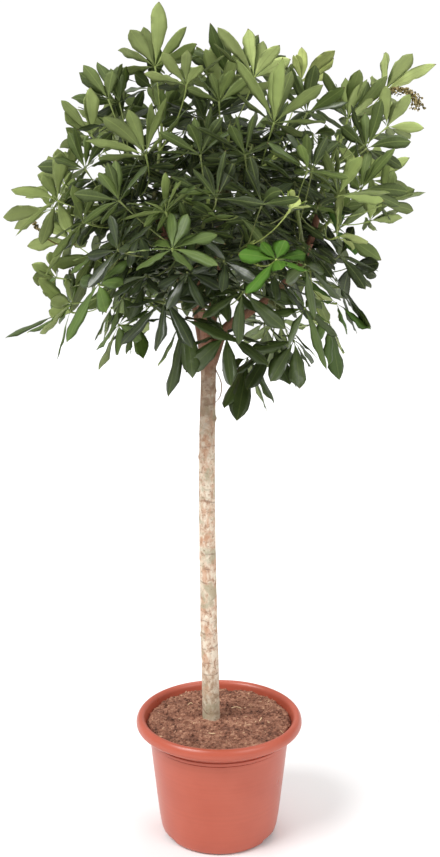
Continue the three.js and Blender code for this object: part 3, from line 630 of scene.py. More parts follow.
def edge_wave(tree, held, off):
    """Waves along a blade's edges, each blade with its own."""
    inputs = {0: held["reach"], 1: 17, 2: held["tone"]}
    phase = add_node(tree, "ShaderNodeMath", inputs, operation="MULTIPLY_ADD")
    phase = add_node(tree, "ShaderNodeMath", {0: held["tone"], 1: 40, 2: phase}, operation="MULTIPLY_ADD")
    side = add_node(tree, "ShaderNodeMath", {0: held["side"], 1: 1.3}, operation="MULTIPLY")
    phase = add_node(tree, "ShaderNodeMath", {0: phase, 1: side}, operation="ADD")
    wave = add_node(tree, "ShaderNodeMath", {0: phase}, operation="SINE")
    return add_node(tree, "ShaderNodeMath", {0: wave, 1: off}, operation="MULTIPLY")


def blade_lift(tree, given, held, off, aside, wave):
    """How far a blade's points rise from its plane: it is folded, waved at its edges and twisted."""
    inputs = {0: off, 1: FOLD_EASE, 2: held["fold"]}
    slope = add_node(tree, "ShaderNodeMath", inputs, operation="MULTIPLY_ADD")
    raised = add_node(tree, "ShaderNodeMath", {0: off, 1: slope}, operation="MULTIPLY")
    inputs = {0: wave, 1: given["Edge wave"], 2: raised}
    lift = add_node(tree, "ShaderNodeMath", inputs, operation="MULTIPLY_ADD")
    twisted = add_node(tree, "ShaderNodeMath", {0: aside, 1: held["twist"]}, operation="MULTIPLY")
    inputs = {0: twisted, 1: held["reach"], 2: lift}
    return add_node(tree, "ShaderNodeMath", inputs, operation="MULTIPLY_ADD")


def blade_sweep(tree, given, held, bend, aside, wave):
    """How far a blade's points move sideways in its plane: it is fuller or slimmer, lobed and curved."""
    own = add_node(tree, "ShaderNodeMath", {0: held["tone"], 1: -0.5}, operation="ADD")
    outer = add_node(tree, "ShaderNodeMath", {0: held["reach"], 1: -0.55}, operation="ADD")
    fuller = add_node(tree, "ShaderNodeMath", {0: own, 1: outer}, operation="MULTIPLY")
    fuller = add_node(tree, "ShaderNodeMath", {0: fuller, 1: given["Shape change"]}, operation="MULTIPLY")
    curved = add_node(tree, "ShaderNodeMath", {0: bend, 1: held["sway"]}, operation="MULTIPLY")
    sweep = add_node(tree, "ShaderNodeMath", {0: aside, 1: fuller, 2: curved}, operation="MULTIPLY_ADD")
    lobes = add_node(tree, "ShaderNodeMath", {0: wave, 1: given["Lobes"]}, operation="MULTIPLY")
    lobes = add_node(tree, "ShaderNodeMath", {0: lobes, 1: held["reach"]}, operation="MULTIPLY")
    sign = add_node(tree, "ShaderNodeMath", {0: held["side"]}, operation="SIGN")
    return add_node(tree, "ShaderNodeMath", {0: lobes, 1: sign, 2: sweep}, operation="MULTIPLY_ADD")


def blade_offset(tree, given, held, off):
    """The whole way that each point of a placed blade moves from the flat one."""
    aside = add_node(tree, "ShaderNodeMath", {0: held["side"], 1: held["width"]}, operation="MULTIPLY")
    bend = add_node(tree, "ShaderNodeMath", {0: held["reach"], 1: 2}, operation="POWER")
    bend = add_node(tree, "ShaderNodeMath", {0: bend, 1: held["length"]}, operation="MULTIPLY")
    wave = edge_wave(tree, held, off)
    lift = blade_lift(tree, given, held, off, aside, wave)
    sweep = blade_sweep(tree, given, held, bend, aside, wave)
    inputs = {0: held["along"], 1: held["face"]}
    right = add_node(tree, "ShaderNodeVectorMath", inputs, operation="CROSS_PRODUCT")
    swept = add_node(tree, "ShaderNodeVectorMath", {0: right, "Scale": sweep}, operation="SCALE")
    lifted = add_node(tree, "ShaderNodeVectorMath", {0: held["face"], "Scale": lift}, operation="SCALE")
    moved = add_node(tree, "ShaderNodeVectorMath", {0: lifted, 1: swept}, operation="ADD")
    sink = add_node(tree, "ShaderNodeMath", {0: bend, 1: held["droop"]}, operation="MULTIPLY")
    sunk = add_node(tree, "ShaderNodeVectorMath", {0: (0, 0, -1), "Scale": sink}, operation="SCALE")
    return add_node(tree, "ShaderNodeVectorMath", {0: moved, 1: sunk}, operation="ADD")


def leaflet_tree():
    """Sets one bent blade on each point, on a short stalk, with its sizes read from the point.

    The blades are made real before they are bent, because each is bent by its own values.
    """
    tree, given = new_tree(
        "grow_leaflets",
        {
            "Rows": ("NodeSocketInt", 10),
            "Columns": ("NodeSocketInt", 4),
            "Half thickness": ("NodeSocketFloat", 0.0004),
            "Edge wave": ("NodeSocketFloat", 0.12),
            "Shape change": ("NodeSocketFloat", 0.9),
            "Lobes": ("NodeSocketFloat", 0.08),
            "Material": ("NodeSocketMaterial", None),
        },
    )
    sizes = ("length", "width", "droop", "fold", "twist", "sway", "tone", "reach", "side")
    held = {}
    for name in ("along", "face", *sizes):
        kind = "FLOAT" if name in sizes else "FLOAT_VECTOR"
        held[name] = add_node(tree, "GeometryNodeInputNamedAttribute", {"Name": name}, data_type=kind)
    inputs = {"Primary Axis": held["along"], "Secondary Axis": held["face"]}
    turn = add_node(tree, "FunctionNodeAxesToRotation", inputs, primary_axis="X", secondary_axis="Z")
    scale = add_node(tree, "ShaderNodeCombineXYZ", {0: held["length"], 1: held["width"], 2: 1})
    inputs = {"Points": given["Geometry"], "Instance": blade(tree, given), "Rotation": turn, "Scale": scale}
    placed = add_node(tree, "GeometryNodeInstanceOnPoints", inputs)
    real = add_node(tree, "GeometryNodeRealizeInstances", {"Geometry": placed})

    off = add_node(tree, "ShaderNodeMath", {0: held["side"]}, operation="ABSOLUTE")
    off = add_node(tree, "ShaderNodeMath", {0: off, 1: held["width"]}, operation="MULTIPLY")
    run = add_node(tree, "ShaderNodeMath", {0: held["reach"], 1: held["length"]}, operation="MULTIPLY")
    inputs = {"Geometry": real, "Offset": blade_offset(tree, given, held, off)}
    done = add_node(tree, "GeometryNodeSetPosition", inputs)
    for name, value in (("across", off), ("run", run)):
        inputs = {"Geometry": done, "Name": name, "Value": value}
        done = add_node(tree, "GeometryNodeStoreNamedAttribute", inputs, data_type="FLOAT")
    done = add_node(tree, "GeometryNodeSetShadeSmooth", {"Geometry": done})
    end_tree(tree, given, done, [name for name in held if name not in ("tone", "reach")])
    return tree


def stalk_tree():
    """Sweeps a round section along each line, as thick as its points say."""
    tree, given = new_tree(
        "sweep_stalks",
        {"Sides": ("NodeSocketInt", 8), "Material": ("NodeSocketMaterial", None)},
    )
    line = add_node(tree, "GeometryNodeMeshToCurve", {"Mesh": given["Geometry"]})
    ring = add_node(tree, "GeometryNodeCurvePrimitiveCircle", {"Resolution": given["Sides"], "Radius": 1})
    thick = add_node(tree, "GeometryNodeInputNamedAttribute", {"Name": "thickness"}, data_type="FLOAT")
    inputs = {"Curve": line, "Profile Curve": ring, "Scale": thick, "Fill Caps": True}
    done = add_node(tree, "GeometryNodeCurveToMesh", inputs)
    done = add_node(tree, "GeometryNodeSetShadeSmooth", {"Geometry": done})
    end_tree(tree, given, done, ["thickness"])
    return tree


def lump_tree():
    """Sets one rough lump on each point, turned and sized as the point says."""
    tree, given = new_tree(
        "set_lumps",
        {"Roughness": ("NodeSocketFloat", 0.35), "Material": ("NodeSocketMaterial", None)},
    )
    ball = add_node(tree, "GeometryNodeMeshIcoSphere", {"Radius": 1, "Subdivisions": 1})
    held = {}
    for name in ("size", "turn"):
        inputs = {"Name": name}
        held[name] = add_node(tree, "GeometryNodeInputNamedAttribute", inputs, data_type="FLOAT_VECTOR")
    inputs = {"Points": given["Geometry"], "Instance": ball, "Rotation": held["turn"], "Scale": held["size"]}
    placed = add_node(tree, "GeometryNodeInstanceOnPoints", inputs)
    real = add_node(tree, "GeometryNodeRealizeInstances", {"Geometry": placed})
    rough = add_node(tree, "ShaderNodeTexNoise", {"Scale": 160, "Detail": 0})
    inputs = {0: rough.outputs["Color"], 1: (0.5, 0.5, 0.5)}
    rough = add_node(tree, "ShaderNodeVectorMath", inputs, operation="SUBTRACT")
    longest = add_node(tree, "ShaderNodeVectorMath", {0: held["size"]}, operation="LENGTH")
    inputs = {0: longest.outputs["Value"], 1: given["Roughness"]}
    amount = add_node(tree, "ShaderNodeMath", inputs, operation="MULTIPLY")
    offset = add_node(tree, "ShaderNodeVectorMath", {0: rough, "Scale": amount}, operation="SCALE")
    done = add_node(tree, "GeometryNodeSetPosition", {"Geometry": real, "Offset": offset})
    end_tree(tree, given, done, held)
    return tree


# ---- Materials ----


def new_material(name):
    """A material with its node tree and its shader."""
    material = bpy.data.materials.new(name)
    material.use_nodes = True
    tree = material.node_tree
    return material, tree, tree.nodes["Principled BSDF"]


def leaf_veins(tree, held):
    """Where a leaf is pale: its stalk, its midrib, and side veins that run from it towards the tip."""
    inputs = {0: held["across"], 1: -0.8, 2: held["run"]}
    veins = add_node(tree, "ShaderNodeMath", inputs, operation="MULTIPLY_ADD")
    inputs = {0: veins, 1: 2 * math.pi / (VEIN_SPACING * MM)}
    veins = add_node(tree, "ShaderNodeMath", inputs, operation="MULTIPLY")
    veins = add_node(tree, "ShaderNodeMath", {0: veins}, operation="COSINE")
    veins = add_node(tree, "ShaderNodeMapRange", {0: veins, 1: 0.75, 2: 1.0, 3: 0.0, 4: 1.0})
    rib = add_node(tree, "ShaderNodeMapRange", {0: held["across"], 1: 0.0013, 2: 0.0004, 3: 0.0, 4: 1.0})
    stalk = add_node(tree, "ShaderNodeMapRange", {0: held["reach"], 1: 0.2, 2: 0.12, 3: 0.0, 4: 1.0})
    rib = add_node(tree, "ShaderNodeMath", {0: rib, 1: stalk}, operation="MAXIMUM")
    inputs = {0: veins, 1: 0.2, 2: rib}
    pale = add_node(tree, "ShaderNodeMath", inputs, operation="MULTIPLY_ADD", use_clamp=True)
    seen = add_node(tree, "ShaderNodeMapRange", {0: held["under"], 1: 0.0, 2: 1.0, 3: 0.13, 4: 0.32})
    return add_node(tree, "ShaderNodeMath", {0: pale, 1: seen}, operation="MULTIPLY")


def leaf_colour(tree, held, clouds, pale):
    """The colours of a leaf's two sides by its age and painted shade, each leaflet with its own tone.

    The drip tip dries first, on some leaflets more than on others.
    """
    above = add_node(tree, "ShaderNodeValToRGB", {"Fac": held["age"]}, stops=LEAF_ABOVE)
    below = add_node(tree, "ShaderNodeValToRGB", {"Fac": held["age"]}, stops=LEAF_BELOW)
    inputs = {0: held["under"], 6: above, 7: below}
    base = add_node(tree, "ShaderNodeMix", inputs, data_type="RGBA").outputs[2]
    own = add_node(tree, "ShaderNodeMapRange", {0: held["tone"], 1: 0.0, 2: 1.0, 3: 0.64, 4: 1.42})
    light = add_node(tree, "ShaderNodeMath", {0: clouds, 1: own}, operation="MULTIPLY")
    base = add_node(tree, "ShaderNodeVectorMath", {0: base, "Scale": light}, operation="SCALE")
    inputs = {0: pale, 6: base, 7: colour(LEAF_VEIN)}
    base = add_node(tree, "ShaderNodeMix", inputs, data_type="RGBA").outputs[2]
    tip = add_node(tree, "ShaderNodeMapRange", {0: held["reach"], 1: 0.955, 2: 0.985, 3: 0.0, 4: 1.0})
    dry = add_node(tree, "ShaderNodeMapRange", {0: held["tone"], 1: 0.62, 2: 0.8, 3: 0.15, 4: 0.9})
    tip = add_node(tree, "ShaderNodeMath", {0: tip, 1: dry}, operation="MULTIPLY")
    inputs = {0: tip, 6: base, 7: colour(LEAF_TIP)}
    return add_node(tree, "ShaderNodeMix", inputs, data_type="RGBA").outputs[2]


def leaf_roughness(tree, held, clouds):
    """Smoother above with age, matte below, and a little uneven."""
    waxy = add_node(tree, "ShaderNodeMapRange", {0: held["age"], 1: 0.4, 2: 0.85, 3: 0.5, 4: 0.33})
    rough = add_node(tree, "ShaderNodeMapRange", {0: held["under"], 1: 0.0, 2: 1.0, 3: waxy, 4: 0.58})
    rough = add_node(tree, "ShaderNodeMath", {0: clouds, 1: 0.1, 2: rough}, operation="MULTIPLY_ADD")
    return add_node(tree, "ShaderNodeMath", {0: rough, 1: 0.1}, operation="SUBTRACT")


def leaf_material():
    """Living leaf of an umbrella plant: waxy above, matte and pale below, with a pale raised midrib.

    The waxy side gives the crown its dark gloss, the underside its light grey-green.
    """
    material, tree, shader = new_material("umbrella_leaf")
    held = {}
    for name in ("age", "tone", "under", "reach", "across", "run"):
        held[name] = add_node(tree, "ShaderNodeAttribute", attribute_name=name).outputs["Fac"]
    place = add_node(tree, "ShaderNodeTexCoord").outputs["Object"]
    clouds = add_node(tree, "ShaderNodeTexNoise", {"Vector": place, "Scale": 24, "Detail": 3})
    clouds = add_node(tree, "ShaderNodeMapRange", {0: clouds, 1: 0.3, 2: 0.7, 3: 0.84, 4: 1.16})
    pale = leaf_veins(tree, held)
    tree.links.new(leaf_colour(tree, held, clouds, pale), shader.inputs["Base Color"])
    tree.links.new(leaf_roughness(tree, held, clouds).outputs[0], shader.inputs["Roughness"])
    gloss = add_node(tree, "ShaderNodeMapRange", {0: held["age"], 1: 0.3, 2: 0.95, 3: 0.2, 4: 0.72})
    tree.links.new(gloss.outputs[0], shader.inputs["Specular IOR Level"])
    hollows = add_node(tree, "ShaderNodeTexNoise", {"Vector": place, "Scale": 65, "Detail": 1})
    relief = add_node(tree, "ShaderNodeMath", {0: pale, 1: 0.3, 2: hollows}, operation="MULTIPLY_ADD")
    bump = add_node(tree, "ShaderNodeBump", {"Height": relief, "Strength": 0.35, "Distance": 0.003})
    tree.links.new(bump.outputs[0], shader.inputs["Normal"])
    shader.inputs["IOR"].default_value = 1.45
    return material


def stalk_material():
    """Petioles and young shoots: green bark that browns with age, with small corky spots.

    Petioles also brown with the painted shade that darkens their leaves.
    """
    material, tree, shader = new_material("green_stalk")
    green = add_node(tree, "ShaderNodeAttribute", attribute_name="green").outputs["Fac"]
    place = add_node(tree, "ShaderNodeTexCoord").outputs["Object"]
    base = add_node(tree, "ShaderNodeValToRGB", {"Fac": green}, stops=STALK_GREENS)
    spots = add_node(tree, "ShaderNodeTexNoise", {"Vector": place, "Scale": 260, "Detail": 2})
    spots = add_node(tree, "ShaderNodeMapRange", {0: spots, 1: 0.35, 2: 0.7, 3: 1.12, 4: 0.72})
    base = add_node(tree, "ShaderNodeVectorMath", {0: base, "Scale": spots}, operation="SCALE")
    tree.links.new(base.outputs[0], shader.inputs["Base Color"])
    rough = add_node(tree, "ShaderNodeMapRange", {0: green, 1: 0.0, 2: 1.0, 3: 0.75, 4: 0.42})
    tree.links.new(rough.outputs[0], shader.inputs["Roughness"])
    return material


def patches(tree, vector, scale, low, high, most):
    """Uneven patches: nothing below one level of a noise, the most above another."""
    inputs = {"Vector": vector, "Scale": scale, "Detail": 4, "Roughness": 0.6, "Distortion": 0.4}
    cloud = add_node(tree, "ShaderNodeTexNoise", inputs)
    return add_node(tree, "ShaderNodeMapRange", {0: cloud, 1: low, 2: high, 3: 0.0, 4: most})


def bark_marks(tree, place, height):
    """Old leaf scars run part of the way round, and corky spots lie between them, wider than high."""
    sway = add_node(tree, "ShaderNodeTexNoise", {"Vector": place, "Scale": 14, "Detail": 2})
    rings = add_node(tree, "ShaderNodeMath", {0: sway, 1: 0.05, 2: height}, operation="MULTIPLY_ADD")
    inputs = {0: rings, 1: 2 * math.pi / (SCAR_SPACING * MM)}
    rings = add_node(tree, "ShaderNodeMath", inputs, operation="MULTIPLY")
    rings = add_node(tree, "ShaderNodeMath", {0: rings}, operation="SINE")
    rings = add_node(tree, "ShaderNodeMapRange", {0: rings, 1: 0.88, 2: 1.0, 3: 0.0, 4: 1.0})
    inputs = {0: rings, 1: patches(tree, place, 40, 0.48, 0.6, 0.6)}
    rings = add_node(tree, "ShaderNodeMath", inputs, operation="MULTIPLY")
    flat = add_node(tree, "ShaderNodeMapping", {"Vector": place, "Scale": (1, 1, 1.8)})
    spots = add_node(tree, "ShaderNodeTexVoronoi", {"Vector": flat, "Scale": 90})
    inputs = {0: spots.outputs["Distance"], 1: 0.24, 2: 0.1, 3: 0.0, 4: 0.6}
    spots = add_node(tree, "ShaderNodeMapRange", inputs)
    return add_node(tree, "ShaderNodeMath", {0: rings, 1: spots}, operation="MAXIMUM")


def bark_colour(tree, place, upright, flakes, height, dark):
    """Beige flakes, and the patches, film and marks that lie over them, one over another.

    Grey-green film lies near the soil, brown bark inside the crown and just below it.
    That brown is partly bark colour and partly painted shade of the crown.
    """
    level = add_node(tree, "ShaderNodeMath", {0: flakes, 1: 0.12, 2: height}, operation="MULTIPLY_ADD")
    film = add_node(tree, "ShaderNodeMapRange", {0: level, 1: 0.46, 2: 0.35, 3: 0.0, 4: 0.6})
    # Brown upwards from just below the crown: partly bark colour, partly painted shade of the crown.
    young = add_node(tree, "ShaderNodeMapRange", {0: level, 1: 0.93, 2: 1.09, 3: 0.0, 4: 1.0})
    limb = add_node(tree, "ShaderNodeMapRange", {0: level, 1: 1.12, 2: 1.17, 3: 0.0, 4: 0.8})
    inputs = {0: patches(tree, place, 60, 0.3, 0.62, 1.0), 1: 0.5, 2: 0.35}
    brown = add_node(tree, "ShaderNodeMath", inputs, operation="MULTIPLY_ADD")
    brown = add_node(tree, "ShaderNodeMath", {0: brown, 1: young}, operation="MULTIPLY")
    base = add_node(tree, "ShaderNodeValToRGB", {"Fac": flakes}, stops=BARK_BEIGES)
    layers = [
        (patches(tree, upright, 46, 0.5, 0.62, 0.65), BARK_PINK),
        (patches(tree, place, 27, 0.52, 0.62, 0.75), BARK_GREY),
        (film, BARK_GREY),
        (brown, BARK_BROWN),
        (limb, BARK_RED),
        (dark, BARK_BROWN),
    ]
    for share, code in layers:
        inputs = {0: share, 6: base, 7: colour(code)}
        base = add_node(tree, "ShaderNodeMix", inputs, data_type="RGBA").outputs[2]
    return base


def bark_material():
    """Thin flaking bark of a young trunk: cream, tan and pinkish patches with grey-green film and scars.

    It greens towards the soil and browns where it goes into the crown, partly as painted shade of the crown.
    """
    material, tree, shader = new_material("flaking_bark")
    place = add_node(tree, "ShaderNodeTexCoord").outputs["Object"]
    height = add_node(tree, "ShaderNodeSeparateXYZ", {0: place}).outputs[2]
    upright = add_node(tree, "ShaderNodeMapping", {"Vector": place, "Scale": (1, 1, 0.6)})
    inputs = {"Vector": upright, "Scale": 85, "Detail": 6, "Roughness": 0.68, "Distortion": 0.3}
    flakes = add_node(tree, "ShaderNodeTexNoise", inputs)
    dark = bark_marks(tree, place, height)
    base = bark_colour(tree, place, upright, flakes, height, dark)
    tree.links.new(base, shader.inputs["Base Color"])
    grain = add_node(tree, "ShaderNodeTexNoise", {"Vector": upright, "Scale": 420, "Detail": 4})
    relief = add_node(tree, "ShaderNodeMath", {0: dark, 1: -0.6, 2: grain}, operation="MULTIPLY_ADD")
    relief = add_node(tree, "ShaderNodeMath", {0: flakes, 1: 1.4, 2: relief}, operation="MULTIPLY_ADD")
    bump = add_node(tree, "ShaderNodeBump", {"Height": relief, "Strength": 0.6, "Distance": 0.002})
    tree.links.new(bump.outputs[0], shader.inputs["Normal"])
    shader.inputs["Roughness"].default_value = 0.82
    return material


def peat_material():
    """Damp peat with bark fines: reddish-brown crumbs with paler fibres, quite without gloss."""
    material, tree, shader = new_material("damp_peat")
    tone = add_node(tree, "ShaderNodeAttribute", attribute_name="tone").outputs["Fac"]
    place = add_node(tree, "ShaderNodeTexCoord").outputs["Object"]
    inputs = {"Vector": place, "Scale": 130, "Detail": 5, "Roughness": 0.7}
    crumbs = add_node(tree, "ShaderNodeTexNoise", inputs)
    mixed = add_node(tree, "ShaderNodeMath", {0: tone, 1: 0.55, 2: crumbs}, operation="MULTIPLY_ADD")
    inputs = {"Vector": place, "Scale": 22, "Detail": 2, "Roughness": 0.6}
    damp = add_node(tree, "ShaderNodeTexNoise", inputs)
    damp = add_node(tree, "ShaderNodeMapRange", {0: damp, 1: 0.35, 2: 0.65, 3: -0.13, 4: 0.1})
    mixed = add_node(tree, "ShaderNodeMath", {0: mixed, 1: damp}, operation="ADD")
    base = add_node(tree, "ShaderNodeValToRGB", {"Fac": mixed}, stops=PEAT_BROWNS)
    tree.links.new(base.outputs[0], shader.inputs["Base Color"])
    bump = add_node(tree, "ShaderNodeBump", {"Height": crumbs, "Strength": 0.9, "Distance": 0.003})
    tree.links.new(bump.outputs[0], shader.inputs["Normal"])
    shader.inputs["Roughness"].default_value = 0.95
    return material


def pot_material():
    """Injection-moulded polypropylene in terracotta orange: an even satin gloss with faint flow bands."""
    material, tree, shader = new_material("moulded_polypropylene")
    place = add_node(tree, "ShaderNodeTexCoord").outputs["Object"]
    parts = add_node(tree, "ShaderNodeSeparateXYZ", {0: place})
    clouds = add_node(tree, "ShaderNodeTexNoise", {"Vector": place, "Scale": 9, "Detail": 3})
    base = add_node(tree, "ShaderNodeValToRGB", {"Fac": clouds}, stops=POT_ORANGES)
    bands = add_node(tree, "ShaderNodeMath", {0: parts.outputs[2], 1: 1 / 0.0065}, operation="MULTIPLY")
    inputs = {"W": bands, "Scale": 1, "Detail": 1}
    bands = add_node(tree, "ShaderNodeTexNoise", inputs, noise_dimensions="1D")
    shade = add_node(tree, "ShaderNodeMapRange", {0: bands, 1: 0.3, 2: 0.7, 3: 0.98, 4: 1.015})
    base = add_node(tree, "ShaderNodeVectorMath", {0: base, "Scale": shade}, operation="SCALE")
    tree.links.new(base.outputs[0], shader.inputs["Base Color"])
    grain = add_node(tree, "ShaderNodeTexNoise", {"Vector": place, "Scale": 900, "Detail": 1})
    relief = add_node(tree, "ShaderNodeMath", {0: bands, 1: 1.5, 2: grain}, operation="MULTIPLY_ADD")
    bump = add_node(tree, "ShaderNodeBump", {"Height": relief, "Strength": 0.12, "Distance": 0.0006})
    tree.links.new(bump.outputs[0], shader.inputs["Normal"])
    rough = add_node(tree, "ShaderNodeMapRange", {0: clouds, 1: 0.3, 2: 0.7, 3: 0.27, 4: 0.37})
    tree.links.new(rough.outputs[0], shader.inputs["Roughness"])
    shader.inputs["IOR"].default_value = 1.49
    return material


def dried_material():
    """Dried flower sprays: brittle brown stalks and yellowed husks, without gloss."""
    material, tree, shader = new_material("dried_spray")
    tone = add_node(tree, "ShaderNodeAttribute", attribute_name="tone").outputs["Fac"]
    place = add_node(tree, "ShaderNodeTexCoord").outputs["Object"]
    clouds = add_node(tree, "ShaderNodeTexNoise", {"Vector": place, "Scale": 300, "Detail": 3})
    mixed = add_node(tree, "ShaderNodeMath", {0: clouds, 1: 0.4, 2: tone}, operation="MULTIPLY_ADD")
    base = add_node(tree, "ShaderNodeValToRGB", {"Fac": mixed}, stops=DRIED_BROWNS)
    tree.links.new(base.outputs[0], shader.inputs["Base Color"])
    bump = add_node(tree, "ShaderNodeBump", {"Height": clouds, "Strength": 0.6, "Distance": 0.001})
    tree.links.new(bump.outputs[0], shader.inputs["Normal"])
    shader.inputs["Roughness"].default_value = 0.85
    return material


# ---- Crown ----


def grown_leaves(tip, count, draw):
    """Leaves of a shoot on the hidden side: they stand round its tip, the first nearest to its line."""
    outward = unit(tip - HIDDEN_CENTRE)
    across = unit(np.cross(UP, outward))
    upward = np.cross(outward, across)
    turn = draw() * 2 * math.pi
    rows = []
    for leaf in range(count):
        around = turn + math.radians(SPIRAL) * leaf
        spread = math.radians(28 + 62 * leaf / (count - 1))
        reach = between(HIDDEN_REACH, draw())
        round_about = across * math.cos(around) + upward * math.sin(around)
        hub = tip + reach * (outward * math.cos(spread) + round_about * math.sin(spread))
        height = min(max((hub[2] - HIDDEN_FOOT) / HIDDEN_RISE, 0), 1)
        lean = (15 + 45 * math.hypot(hub[0], hub[1]) / HIDDEN_WIDTH) * (1 - 0.35 * height)
        rows.append((*hub, between(HIDDEN_LENGTH, draw()), lean, 108 - 60 * height))
    return rows


def light_at(height):
    """How much light a leaf gets at its height in the crown, from 0 to 1."""
    return min(max((height - LIGHT_FROM) / (LIGHT_FULL - LIGHT_FROM), 0), 1)


def read_leaf(row, count, draw):
    """A leaf's hub, its axis, the directions across it, and the run of its leaflets."""
    x, y, z, length, lean, opening = row
    light = light_at(z)
    outward = unit(np.array([x, y + LIGHT_PULL * light, 0.0]))
    lean = math.radians(lean)
    axis = outward * math.sin(lean) + UP * math.cos(lean)
    sideways = np.cross(UP, outward)
    leaf = {
        "hub": np.array([x, y, z], float),
        "axis": axis,
        "sideways": sideways,
        "downhill": np.cross(sideways, axis),
        "leaflets": [],
    }
    turn = draw() * 2 * math.pi
    for index in range(count):
        around = turn + 2 * math.pi * (index + 0.3 * (draw() - 0.5)) / count
        outer = 0.88 + 0.12 * math.cos(around) * (1 - 2 * light)
        open_by = opening + 14 * (draw() - 0.5)
        size = length * outer * (0.92 + 0.16 * draw())
        droop = 0.05 + 0.12 * draw()
        fold = 0.1 + 0.15 * draw()
        leaf["leaflets"].append((around, open_by, size, droop, fold))
    return leaf


def directions(leaf, around, opening):
    """The way a leaflet points, and the way its upper face looks."""
    opening = math.radians(opening)
    radial = leaf["downhill"] * math.cos(around) + leaf["sideways"] * math.sin(around)
    along = leaf["axis"] * math.cos(opening) + radial * math.sin(opening)
    face = leaf["axis"] * math.sin(opening) - radial * math.cos(opening)
    return along, face


def turned(way, turn):
    """The way, turned clockwise by so many degrees as seen from the front."""
    turn = math.radians(turn)
    x, y, z = way
    return np.array([x * math.cos(turn) + z * math.sin(turn), y, z * math.cos(turn) - x * math.sin(turn)])


def stem_curve(limb, at, tip):
    """A shoot's sagging stem, from its foot inside the limb to its tip."""
    foot = even_points(spline(LIMBS[limb]), at * 0.985)[0]
    middle = (foot + tip) / 2 - UP * 0.1 * np.linalg.norm(tip - foot)
    return bezier(foot, middle, tip)


def petiole_curve(stem, share, leaf, bow):
    """A leaf's petiole, from below its hub to the stem, bowed sideways and downhill."""
    foot = stem(share)
    start = leaf["hub"] - leaf["axis"] * HUB_HALF_THICKNESS
    reach = np.linalg.norm(foot - start)
    middle = ((foot + start) / 2 + start - leaf["axis"] * 0.5 * reach) / 2
    middle = middle + leaf["sideways"] * bow[0] + leaf["downhill"] * bow[1]
    return bezier(start, middle, foot)


def near(solid, point, low, high):
    """How many corners of a solid lie between two distances from a point."""
    found = solid.find_range(point * MM, high * MM)
    return sum(distance > low * MM for _, _, distance in found)


def best(choices, score):
    """The choice that the solid shows was taken."""
    scores = [score(choice) for choice in choices]
    return choices[scores.index(max(scores))]


def read_shoot(number, solid):
    """A shoot's stem and leaves, each bent as its solid is."""
    limb, at, tip, leaves = SHOOTS[number]
    draw = random_numbers(number + 1)
    tip = np.array(tip, float)
    steps = [at - STEM_STEP_BACK * step for step in range(12) if at - STEM_STEP_BACK * step > 0]
    stems = [stem_curve(limb, step, tip) for step in steps]
    foot, end = STEM_RADII
    rings = [(share, foot + (end - foot) * share) for share in (1 / 3, 2 / 3)]
    stem = best(stems, lambda curve: sum(
        near(solid, even_points(curve, share)[0], radius - 0.1, radius + 0.1) for share, radius in rings
    ))
    behind = isinstance(leaves, int)
    rows = grown_leaves(tip, leaves, draw) if behind else leaves
    grown = []
    for row in rows:
        count = LEAFLETS_BEHIND if behind or row[3] < SMALL_LEAF else LEAFLETS
        grown.append(read_leaf(row, count, draw))
    by_height = sorted(grown, key=lambda leaf: -leaf["hub"][2])
    for order, leaf in enumerate(by_height):
        share = 0.97 - 0.1 * order
        curves = [petiole_curve(stem, share, leaf, bow) for bow in PETIOLE_BOWS]
        leaf["petiole"] = best(curves, lambda curve: near(
            solid, even_points(curve, 0.5)[0], PETIOLE_RADIUS - 0.05, PETIOLE_RADIUS + 0.05
        ))
        leaf["leaflets"] = [bend(leaf, leaflet, solid) for leaflet in leaf["leaflets"]]
        leaf["leaflets"] = [leaflet for leaflet in leaf["leaflets"] if leaflet]
    return {"stem": stem, "tip": tip, "leaves": grown}


def bend(leaf, leaflet, solid):
    """The leaflet, bent as its solid gives way to its neighbours, or None where it has no solid."""
    around, opening, length, droop, fold = leaflet
    nearest = (1.0, None)
    for more_open, turn, share in GIVING_WAY:
        bent = (around + math.radians(turn), opening + more_open, length * share, droop, fold)
        along, _ = directions(leaf, bent[0], bent[1])
        tip = leaf["hub"] + along * bent[2] - UP * droop * bent[2]
        distance = solid.find(tip * MM)[2] / MM
        nearest = min(nearest, (distance, bent), key=lambda pair: pair[0])
    return nearest[1]


def tree_of(node):
    """Search tree of a CAD node's corners."""
    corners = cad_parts[node].data.vertices
    tree = kdtree.KDTree(len(corners))
    for index, corner in enumerate(corners):
        tree.insert(corner.co, index)
    tree.balance()
    return tree


def inner_leaves(number, shoot, draw):
    """Leaves lower on the stem, which fill the crown's shade."""
    grown = []
    for order in range(INNER_LEAVES):
        share = 0.12 + 0.8 * order / (INNER_LEAVES - 1)
        foot = shoot["stem"](share)
        ahead = unit(shoot["stem"](share + 0.05) - foot)
        across = unit(np.cross(ahead, UP))
        beside = np.cross(across, ahead)
        around = math.radians(SPIRAL) * (order + 3 * number)
        way = across * math.cos(around) + beside * math.sin(around) + ahead * 0.35
        hub = foot + unit(way) * between(INNER_PETIOLE, draw())
        inward = CROWN_CENTRE - hub
        hub = hub + inward * max(1 - INNER_REACH / np.linalg.norm(inward * CROWN_SQUASH), 0)
        bounds = (INNER_LENGTH, INNER_LEAN, INNER_OPENING)
        leaf = read_leaf((*hub, *(between(bound, draw()) for bound in bounds)), LEAFLETS, draw)
        leaf["petiole"] = petiole_curve(shoot["stem"], share, leaf, (0, 0))
        leaf["inner"] = True
        bare = any(
            left < hub[0] < right and low < hub[2] < high for (left, right), (low, high) in BARE_PLACES
        )
        if not bare:
            grown.append(leaf)
    return grown


def outline_leaves(number, shoot, draw):
    """Leaves that the outline shows beyond the solids'."""
    grown = []
    for share, row in OUTLINE_LEAVES.get(number + 1, []):
        leaf = read_leaf(row, LEAFLETS, draw)
        leaf["petiole"] = petiole_curve(shoot["stem"], share, leaf, (0, 0))
        grown.append(leaf)
    return grown


